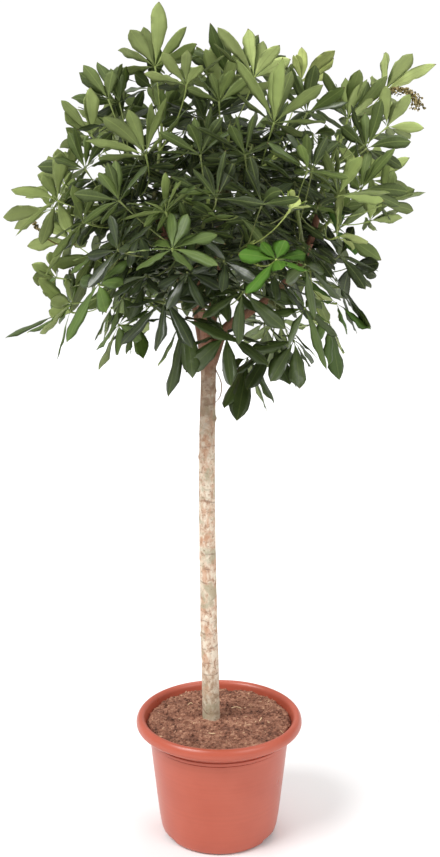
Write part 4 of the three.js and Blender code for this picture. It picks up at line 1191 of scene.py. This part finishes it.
def by_depth(leaf, table):
    """A value from a table, by how far out the leaf is in the crown as seen from the front."""
    x, _, z = (leaf["hub"] - CROWN_CENTRE) * CROWN_SQUASH
    depths, values = zip(*table)
    return np.interp(math.hypot(x, z) / DEPTH_REACH, depths, values)


def leaf_age_and_shade(leaf, chance):
    """How old a leaf looks: the deeper in the crown, or the lower behind it, the older and darker.

    Part of that age is painted shade, darkening leaves deep in the crown and low behind it.
    """
    _, y, z = (leaf["hub"] - CROWN_CENTRE) * CROWN_SQUASH
    age = by_depth(leaf, AGE_AND_SHADE_BY_DEPTH) + AGE_SPREAD * chance
    # Inner leaves, and low leaves behind the middle, get painted shade as added age.
    shaded = leaf.get("inner") or (y > 0 and z < LOW_BEHIND)
    return min(age + (SHADE_AGE if shaded else 0), 1)


def fill_leaf(leaf, draw):
    """Two more leaflets on the upper side of a leaf, more upright and shorter than the others."""
    length = np.mean([leaflet[2] for leaflet in leaf["leaflets"]])
    opening = np.mean([leaflet[1] for leaflet in leaf["leaflets"]])
    for side in (-1, 1):
        around = math.pi + side * math.radians(between(FILLED_AROUND, draw()))
        size = length * (0.78 + 0.18 * draw())
        leaf["leaflets"].append((around, opening * (0.5 + 0.25 * draw()), size, 0.06, 0.2))


def stalk_lines(shoot):
    """The shoot's stem and petioles as lines, with their thickness and how green they are."""
    lines = []
    shares = np.linspace(0, 1, 13)
    points = even_points(shoot["stem"], shares)
    foot, end = STEM_RADII
    knobs = 0.35 * np.cos(shares * 40)
    bud = shoot["tip"] + unit(points[-1] - points[-2]) * np.array([[7], [14]])
    thick = np.concatenate([foot + (end - foot) * shares + knobs, [2.2, 0.5]])
    green = np.concatenate([0.15 + 0.5 * shares, [0.8, 1.0]])
    lines.append((np.vstack([points, bud]), thick, green))
    for leaf in shoot["leaves"]:
        shares = np.linspace(0, 1, 9)
        points = even_points(leaf["petiole"], shares)
        cap = leaf["hub"] + leaf["axis"] * np.array([[2.6], [1.2]])
        thick = np.concatenate([[0.6, 2.4], 1.1 + 0.4 * shares + 1.4 * np.maximum(shares - 0.85, 0) / 0.15])
        thick[2] = 2.2
        thick[3] = 1.3
        # A petiole browns with its leaf's age, which includes painted shade deep in the crown and low behind
        # it.
        green = np.full(len(thick), 1.1 - 0.7 * leaf["age"])
        lines.append((np.vstack([cap, points]), thick, green))
    return lines


def lines_mesh(name, lines, value):
    """One mesh of lines for the stalk tree: each line has its points, thickness and the named value."""
    points = np.vstack([line[0] for line in lines])
    edges = []
    first = 0
    for line, _, _ in lines:
        edges += [(first + step, first + step + 1) for step in range(len(line) - 1)]
        first += len(line)
    held = {
        "thickness": np.concatenate([line[1] for line in lines]) * MM,
        value: np.concatenate([line[2] for line in lines]),
    }
    return mesh_of(name, points, edges=edges, **held)


def leaflet_rows(leaf, key, draw):
    """What the leaflet tree reads for each leaflet of a leaf: its hub, and what LEAFLET_VALUES names.

    The key is the leaf's shoot and place, by which the photo's own leaves are named.
    """
    light = light_at(leaf["hub"][2])
    changes = LEAFLET_CHANGES.get(key, {})
    rows = []
    for index, (around, opening, length, droop, fold) in enumerate(leaf["leaflets"]):
        turn, share = changes.get(index, (0, 1))
        along, face = (turned(way, turn) for way in directions(leaf, around, opening))
        roll = math.radians(np.interp(light, (0, 1), LEAFLET_ROLL)) * (draw() - 0.5)
        width = (LEAFLET_HALF_WIDTH + length * LEAFLET_WIDENING) * np.interp(light, (0, 1), WIDER)
        if key in LEAF_AGES:
            roll *= SEEN_ROLL
        else:
            width *= by_depth(leaf, WIDTH_BY_DEPTH)
        face = face * math.cos(roll) + np.cross(along, face) * math.sin(roll)
        twist = LEAFLET_TWIST * (draw() - 0.5)
        sway = LEAFLET_SWAY * (draw() - 0.5)
        sizes = (length * share * MM, width * MM, droop, fold * MORE_FOLD)
        rows.append((leaf["hub"], along, face, *sizes, twist, sway, draw(), leaf["age"]))
    return rows


def make_shoot(number, trees, materials):
    """Leaves and stalks of one leafy shoot."""
    node = f"shoot_{number + 1:02d}"
    shoot = read_shoot(number, tree_of(node))
    draw = random_numbers(SCENE_SEED + number)
    for leaf in shoot["leaves"]:
        if leaf["hub"][2] > FILLED_FROM:
            fill_leaf(leaf, draw)
    shoot["leaves"] += inner_leaves(number, shoot, draw) + outline_leaves(number, shoot, draw)
    rows = []
    for order, leaf in enumerate(shoot["leaves"]):
        key = (number + 1, order)
        leaf["age"] = LEAF_AGES.get(key, leaf_age_and_shade(leaf, draw()))
        rows += leaflet_rows(leaf, key, draw)
    hubs, *values = (np.array(list(column)) for column in zip(*rows))
    mesh = mesh_of(node, hubs, **dict(zip(LEAFLET_VALUES, values)))
    leaves = grow(f"{node}_leaves", mesh, trees["leaflets"], {"Material": materials["leaf"]})
    lines = lines_mesh(node, stalk_lines(shoot), "green")
    stalks = grow(f"{node}_stalks", lines, trees["stalks"], {"Material": materials["stalk"]})
    for piece in (leaves, stalks):
        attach(piece, "root")
        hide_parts(node)
    return shoot


# ---- Wood ----


def tube(points, radii, sides, relief):
    """Corners and faces of a closed tube, its radius changed by relief(point, bearing)."""
    ways = np.gradient(points, axis=0)
    ways /= np.linalg.norm(ways, axis=1)[:, None]
    across = unit(np.cross(ways[0], [0, 1, 0.01]))
    corners = []
    for point, way, radius in zip(points, ways, radii):
        across = unit(across - way * across.dot(way))
        other = np.cross(way, across)
        for side in range(sides):
            angle = 2 * math.pi * side / sides
            out = across * math.cos(angle) + other * math.sin(angle)
            corners.append(point + out * (radius + relief(point + out * radius, out)))
    faces = []
    for ring in range(len(points) - 1):
        for side in range(sides):
            here = ring * sides + side
            beside = ring * sides + (side + 1) % sides
            faces.append((here, beside, beside + sides, here + sides))
    last = (len(points) - 1) * sides
    faces.append(tuple(reversed(range(sides))))
    faces.append(tuple(range(last, last + sides)))
    return corners, faces


def bark_relief(point, out):
    """Slow swellings, fine roughness, leaf scars, and the knots that the trunk shows."""
    x, y, z = point
    swelling = 1.1 * noise.noise(Vector((x / 40, y / 40, z / 90)))
    fine = 0.35 * noise.noise(Vector((x / 7, y / 7, z / 11)))
    sway = 12 * noise.noise(Vector((x / 60, y / 60, z / 130)))
    scar = 0.45 * max(math.cos((z + sway) * 2 * math.pi / SCAR_STEP), 0.6) - 0.27
    knots = 0
    for height, bearing, rise, size in KNOTS:
        way = np.array([math.cos(math.radians(bearing)), math.sin(math.radians(bearing)), 0])
        spread = (1 - out.dot(way)) * 1.6 + ((z - height) / size) ** 2
        knots += rise * math.exp(-2.2 * spread)
    groove = -1.3 * math.exp(-(((z - GROOVE_HEIGHT) / 3.5) ** 2))
    return swelling + fine + scar + knots + groove


def trunk_and_limbs(material):
    """Trunk and limbs as one grown piece."""
    rings, sides = TRUNK_GRID
    shares = np.linspace(0, 1, rings)
    foot, top = TRUNK_RADII
    line = even_points(spline(TRUNK_LINE), shares)
    corners, faces = tube(line, foot + (top - foot) * shares, sides, bark_relief)
    rings, sides = LIMB_GRID
    shares = np.linspace(0, 1, rings)
    foot, end = LIMB_RADII
    radii = foot + (end - foot) * shares + 5 * np.exp(-((shares / 0.16) ** 2))
    for limb in LIMBS.values():
        limb_corners, limb_faces = tube(even_points(spline(limb), shares), radii, sides, bark_relief)
        first = len(corners)
        corners += limb_corners
        faces += [tuple(corner + first for corner in face) for face in limb_faces]
    return object_of("trunk_and_limbs", mesh_of("trunk_and_limbs", corners, faces), material)


def dead_strand(trees, material):
    """The thin dead strand at the trunk's side, thinnest at its foot."""
    shares = np.linspace(0, 1, 24)
    points = even_points(spline(STRAND_LINE), shares)
    lines = [(points, np.full(24, STRAND_RADIUS) - 0.5 * (shares < 0.1), np.full(24, 0.05))]
    line = lines_mesh("dead_strand", lines, "green")
    return grow("dead_strand", line, trees["stalks"], {"Material": material})


def make_wood(trees, material):
    """All of the bare wood."""
    for piece in (trunk_and_limbs(material), dead_strand(trees, material)):
        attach(piece, "root")
        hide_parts("trunk")


# ---- Pot and soil ----


def rounded(profile, steps=5):
    """A profile of radius, height and corner size, with its corners rounded."""
    points = []
    for index, (r, z, size) in enumerate(profile):
        corner = np.array([r, z], float)
        if not size or index in (0, len(profile) - 1):
            points.append(corner)
            continue
        before = np.array(profile[index - 1][:2], float) - corner
        after = np.array(profile[index + 1][:2], float) - corner
        start = corner + before * min(size / np.linalg.norm(before), 0.49)
        end = corner + after * min(size / np.linalg.norm(after), 0.49)
        for t in np.linspace(0, 1, steps):
            points.append((1 - t) ** 2 * start + 2 * t * (1 - t) * corner + t**2 * end)
    return points


def lathe(profile, segments):
    """Corners and faces of a profile turned round the upright axis. Its two ends lie on the axis."""
    corners = [(0, 0, profile[0][1]), (0, 0, profile[-1][1])]
    rings = profile[1:-1]
    for r, z in rings:
        for segment in range(segments):
            angle = 2 * math.pi * segment / segments
            corners.append((r * math.cos(angle), r * math.sin(angle), z))
    faces = []
    last = 2 + (len(rings) - 1) * segments
    for segment in range(segments):
        beside = (segment + 1) % segments
        faces.append((0, 2 + beside, 2 + segment))
        faces.append((1, last + segment, last + beside))
        for ring in range(len(rings) - 1):
            low = 2 + ring * segments
            high = low + segments
            faces.append((low + segment, low + beside, high + beside, high + segment))
    return corners, faces


def inside_profile(inset):
    """Inside of the pot from the floor's middle to the mouth, moved inward."""
    floor = FLOOR_UNDERSIDE + WALL + 2 + inset
    return [
        (0, floor, 0),
        (FOOT_RADIUS - inset, floor, 4),
        (FOOT_RADIUS + 9 - inset, floor + 9, 6),
        (BODY_FOOT_RADIUS - WALL - inset, BODY_FOOT, 16),
        (BODY_TOP_RADIUS - WALL - inset, BODY_TOP, 6),
        (RIM_MOUTH_RADIUS - 2 - inset, SOIL_TOP - 6, 0),
    ]


def outside_profile():
    """Outside of the pot from the floor's middle to the mouth: foot ring, body, stacking ring and rim."""
    return [
        (0, FLOOR_UNDERSIDE, 0),
        (FOOT_RADIUS - FOOT_WIDTH, FLOOR_UNDERSIDE, 1.5),
        (FOOT_RADIUS - FOOT_WIDTH, 0, 2),
        (FOOT_RADIUS, 0, 4),
        (FOOT_RADIUS + 9, 4, 6),
        (BODY_FOOT_RADIUS - 5, 18, 9),
        (BODY_FOOT_RADIUS, BODY_FOOT, 22),
        (BODY_TOP_RADIUS, BODY_TOP, 0.5),
        (BODY_TOP_RADIUS - 2.8, BODY_TOP + 0.4, 0.3),
        (BODY_TOP_RADIUS - 2.8, BODY_TOP + 3.2, 0.3),
        (RING_RADIUS - 0.6, BODY_TOP + 3.6, 0.7),
        (RING_RADIUS, BODY_TOP + 10.5, 0.9),
        (RING_RADIUS - 2.6, BODY_TOP + 11.2, 0.4),
        (RING_RADIUS - 2.6, BODY_TOP + 14, 0.4),
        (RING_RADIUS + 0.2, BODY_TOP + 14.8, 0.9),
        (RING_RADIUS + 0.6, RIM_LIP + 2, 0.5),
        (RIM_RADIUS - 10, RIM_LIP + 2, 2),
        (RIM_RADIUS - 7, RIM_LIP, 2.5),
        (RIM_RADIUS, RIM_LIP + 6, 6),
        (RIM_RADIUS, RIM_LIP + 17, 8),
        (RIM_RADIUS - 6, POT_HEIGHT - 1, 7),
        (RIM_MOUTH_RADIUS + 8, POT_HEIGHT, 4),
        (RIM_MOUTH_RADIUS + 1.5, POT_HEIGHT - 5, 6),
    ]


def notch_cutter():
    """Blocks that cut the drainage notches from the foot ring, a little narrower at their tops."""
    blocks = bmesh.new()
    for bearing in NOTCH_BEARINGS:
        cos, sin = math.cos(math.radians(bearing)), math.sin(math.radians(bearing))
        for corner in bmesh.ops.create_cube(blocks, size=1)["verts"]:
            x, y, z = corner.co
            wide = NOTCH_WIDTH * (1 if z < 0 else NOTCH_NARROWING)
            corner.co = (FOOT_RADIUS * MM + x * NOTCH_DEPTH * MM, y * wide * MM, z * 2 * NOTCH_HEIGHT * MM)
            x, y, z = corner.co
            corner.co = (x * cos - y * sin, x * sin + y * cos, z)
    mesh = bpy.data.meshes.new("notches")
    blocks.to_mesh(mesh)
    blocks.free()
    cutter = bpy.data.objects.new("notches", mesh)
    bpy.context.scene.collection.objects.link(cutter)
    return cutter


def make_pot(material):
    """The moulded pot, with its notches cut from the foot ring."""
    inside = list(reversed(inside_profile(0)))
    corners, faces = lathe(rounded(outside_profile() + inside), POT_SEGMENTS)
    shell = object_of("pot_shell", mesh_of("pot_shell", corners, faces), material)
    cutter = notch_cutter()
    cut = shell.modifiers.new("cut", "BOOLEAN")
    cut.object = cutter
    cut.operation = "DIFFERENCE"
    cut.solver = "EXACT"
    evaluated = shell.evaluated_get(bpy.context.evaluated_depsgraph_get())
    made = bpy.data.meshes.new_from_object(evaluated)
    shell.modifiers.clear()
    shell.data = made
    bpy.data.objects.remove(cutter)
    made.set_sharp_from_angle(angle=math.radians(POT_CREASE))
    shell.name = "moulded_pot"
    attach(shell, "root")
    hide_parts("pot")


def soil_height(x, y):
    """Height of the soil's rough top: it sinks at the wall and is worked loose everywhere."""
    r = math.hypot(x, y)
    slow = 4.0 * noise.noise(Vector((x / 50, y / 50, 3)))
    clods = 4.6 * noise.noise(Vector((x / 17, y / 17, 7)))
    fine = 1.9 * noise.noise(Vector((x / 6, y / 6, 11)))
    gap = 0.35 + 0.65 * (x / max(r, 1)) ** 2
    edge = -11 * gap * max((r - 155) / 10, 0) ** 2
    mound = 5 * math.exp(-(((x - TRUNK_LINE[1][0]) ** 2 + y**2) / 40**2))
    return SOIL_TOP + 3.5 + slow + clods + fine + edge + mound


def peat_body(material):
    """The peat that fills the pot, with its rough top."""
    wall = rounded(inside_profile(SOIL_GAP))
    rings = [(r, SOIL_TOP) for r in np.linspace(SOIL_RADIUS, 2.5, SOIL_RINGS)]
    profile = [tuple(point) for point in wall[:-1]] + rings + [(0, SOIL_TOP)]
    corners, faces = lathe(profile, SOIL_SEGMENTS)
    corners = [(x, y, soil_height(x, y) if z > SOIL_TOP - 0.5 else z) for x, y, z in corners]
    mesh = mesh_of("peat", corners, faces, tone=np.full(len(corners), 0.25))
    return object_of("peat", mesh, material)


def soil_crumbs(trees, material):
    """Clods, crumbs, chips of bark and pale fibres lying on the soil, clear of the trunk."""
    rng = np.random.default_rng(SOIL_SEED)
    pieces = []
    for name, count, low, high, shape, tones in CRUMBS:
        r = SOIL_RADIUS * 0.985 * np.sqrt(rng.random(count))
        angle = rng.random(count) * 2 * math.pi
        x, y = r * np.cos(angle), r * np.sin(angle)
        keep = np.hypot(x - TRUNK_LINE[1][0], y) > TRUNK_RADII[0] + 1
        x, y = x[keep], y[keep]
        z = np.array([soil_height(*pair) for pair in zip(x, y)])
        size = between((low, high), rng.random(len(x)) ** 2)[:, None] * np.array(shape) * MM
        turn = rng.random((len(x), 3)) * CRUMB_TURN
        tone = between(tones, rng.random(len(x)))
        points = mesh_of(name, np.stack([x, y, z], 1), size=size, turn=turn, tone=tone)
        pieces.append(grow(name, points, trees["lumps"], {"Material": material}))
    return pieces


def soil_straws(trees, material):
    """Pale straws lying on the soil."""
    lines = []
    for straw in STRAWS:
        line = spline([(x, y, soil_height(x, y) + rise - 2) for x, y, rise in straw])
        lines.append((line(np.linspace(0, 1, 12)), np.array([0.5, *[1.3] * 10, 0.5]), np.full(12, 1.0)))
    straws = lines_mesh("pale_straws", lines, "tone")
    return grow("pale_straws", straws, trees["stalks"], {"Material": material})


def make_soil(trees, material):
    """The peat in the pot, and what lies on it."""
    for piece in (peat_body(material), *soil_crumbs(trees, material), soil_straws(trees, material)):
        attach(piece, "root")
        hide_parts("soil")


# ---- Dried sprays ----


def spray_shape(leaf, line, twigs, start, reach, rng):
    """A spray's stalk and its hanging twigs as lines, and the places of its florets."""
    foot = leaf["petiole"](0.12)
    curve = spline([foot, *[np.array(point) + leaf["hub"] for point in line]])
    shares = np.linspace(0, 1, 24)
    stalk = even_points(curve, shares)
    stalk[1:] += rng.normal(0, 0.5, (23, 3))
    lines = [(stalk, 1.9 - 0.7 * shares, np.full(24, 0.35))]
    spots = []
    for twig in range(twigs):
        share = start + (1 - start) * twig / (twigs - 1)
        before, root = even_points(curve, np.array([share - 0.05, share]))
        around = math.radians(SPIRAL) * twig
        way = unit(root - before) * 0.75 + 0.5 * np.array([math.cos(around), math.sin(around), 0.3])
        long = reach * (0.55 + 0.6 * rng.random())
        end = root + way * long - UP * long * 0.5
        bow = root + way * long * 0.6 + UP * long * 0.12
        twig_curve = bezier(root, bow, end)
        tone = 0.1 + rng.random() * 0.6
        lines.append((twig_curve(np.linspace(0, 1, 8)), np.linspace(0.9, 0.5, 8), np.full(8, tone)))
        for place in FLORET_PLACES:
            spots.append(twig_curve(place) + rng.normal(0, 1.5, 3))
    return lines, spots


def make_spray(spray, shoots, trees, material):
    """A dried flower spray: a bent stalk, hanging twigs along its outer part, and shrivelled florets."""
    name, shoot, order, *shape, seed = spray
    rng = np.random.default_rng(seed)
    lines, spots = spray_shape(shoots[shoot]["leaves"][order], *shape, rng)
    size = (1.1 + 1.9 * rng.random((len(spots), 3))) * MM
    turn = rng.random((len(spots), 3)) * FLORET_TURN
    heads = mesh_of(name, spots, size=size, turn=turn, tone=rng.random(len(spots)) * 0.9)
    twigs_mesh = lines_mesh(name, lines, "tone")
    pieces = [
        grow(f"{name}_stalks", twigs_mesh, trees["stalks"], {"Material": material}),
        grow(f"{name}_florets", heads, trees["lumps"], {"Material": material, "Roughness": 0.6}),
    ]
    for piece in pieces:
        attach(piece, "root")
        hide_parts(name)


# ---- Stage ----


def make_floor():
    """Wide pale floor."""
    corners = [(x * FLOOR_REACH, y * FLOOR_REACH, 0) for x, y in ((-1, -1), (1, -1), (1, 1), (-1, 1))]
    material, _, shader = new_material("studio_floor")
    shader.inputs["Base Color"].default_value = colour(FLOOR_WHITE)
    shader.inputs["Roughness"].default_value = 0.9
    floor = object_of("floor", mesh_of("floor", corners, [(0, 1, 2, 3)]), material)


def light_room():
    """Soft light from all round, with a white backdrop for the camera, and three wide suns."""
    world = bpy.data.worlds.new("studio")
    world.use_nodes = True
    bpy.context.scene.world = world
    background = world.node_tree.nodes["Background"]
    background.inputs["Color"].default_value = colour("#FFFFFF")
    ray = add_node(world.node_tree, "ShaderNodeLightPath")
    inputs = {0: ray.outputs["Is Camera Ray"], 1: 0.0, 2: 1.0, 3: WORLD_LIGHT, 4: 1.02}
    strength = add_node(world.node_tree, "ShaderNodeMapRange", inputs)
    world.node_tree.links.new(strength.outputs[0], background.inputs["Strength"])
    for name, way, strength, width in LIGHTS:
        lamp = bpy.data.lights.new(name, "SUN")
        lamp.energy = strength
        lamp.angle = math.radians(width)
        light = bpy.data.objects.new(name, lamp)
        bpy.context.scene.collection.objects.link(light)
        light.location = Vector(way) * 4
        light.rotation_euler = Vector(way).to_track_quat("Z", "Y").to_euler()


def make_camera():
    """Camera with the place, the angle and the view of the photo's."""
    scene = bpy.context.scene
    lens = bpy.data.cameras.new("camera")
    lens.lens = CAMERA_FILM * CAMERA_FOCAL / IMAGE_HEIGHT
    lens.clip_end = 50
    camera = bpy.data.objects.new("camera", lens)
    scene.collection.objects.link(camera)
    camera.location = CAMERA_PLACE
    camera.rotation_euler = (math.radians(90 - CAMERA_PITCH), 0, 0)
    scene.camera = camera
    scene.view_settings.view_transform = "Standard"


make_floor()
light_room()
make_camera()
trees = {"leaflets": leaflet_tree(), "stalks": stalk_tree(), "lumps": lump_tree()}
materials = {"leaf": leaf_material(), "stalk": stalk_material(), "dried": dried_material()}
shoots = [make_shoot(number, trees, materials) for number in range(len(SHOOTS))]
make_wood(trees, bark_material())
make_pot(pot_material())
make_soil(trees, peat_material())
for spray in SPRAYS:
    make_spray(spray, shoots, trees, materials["dried"])
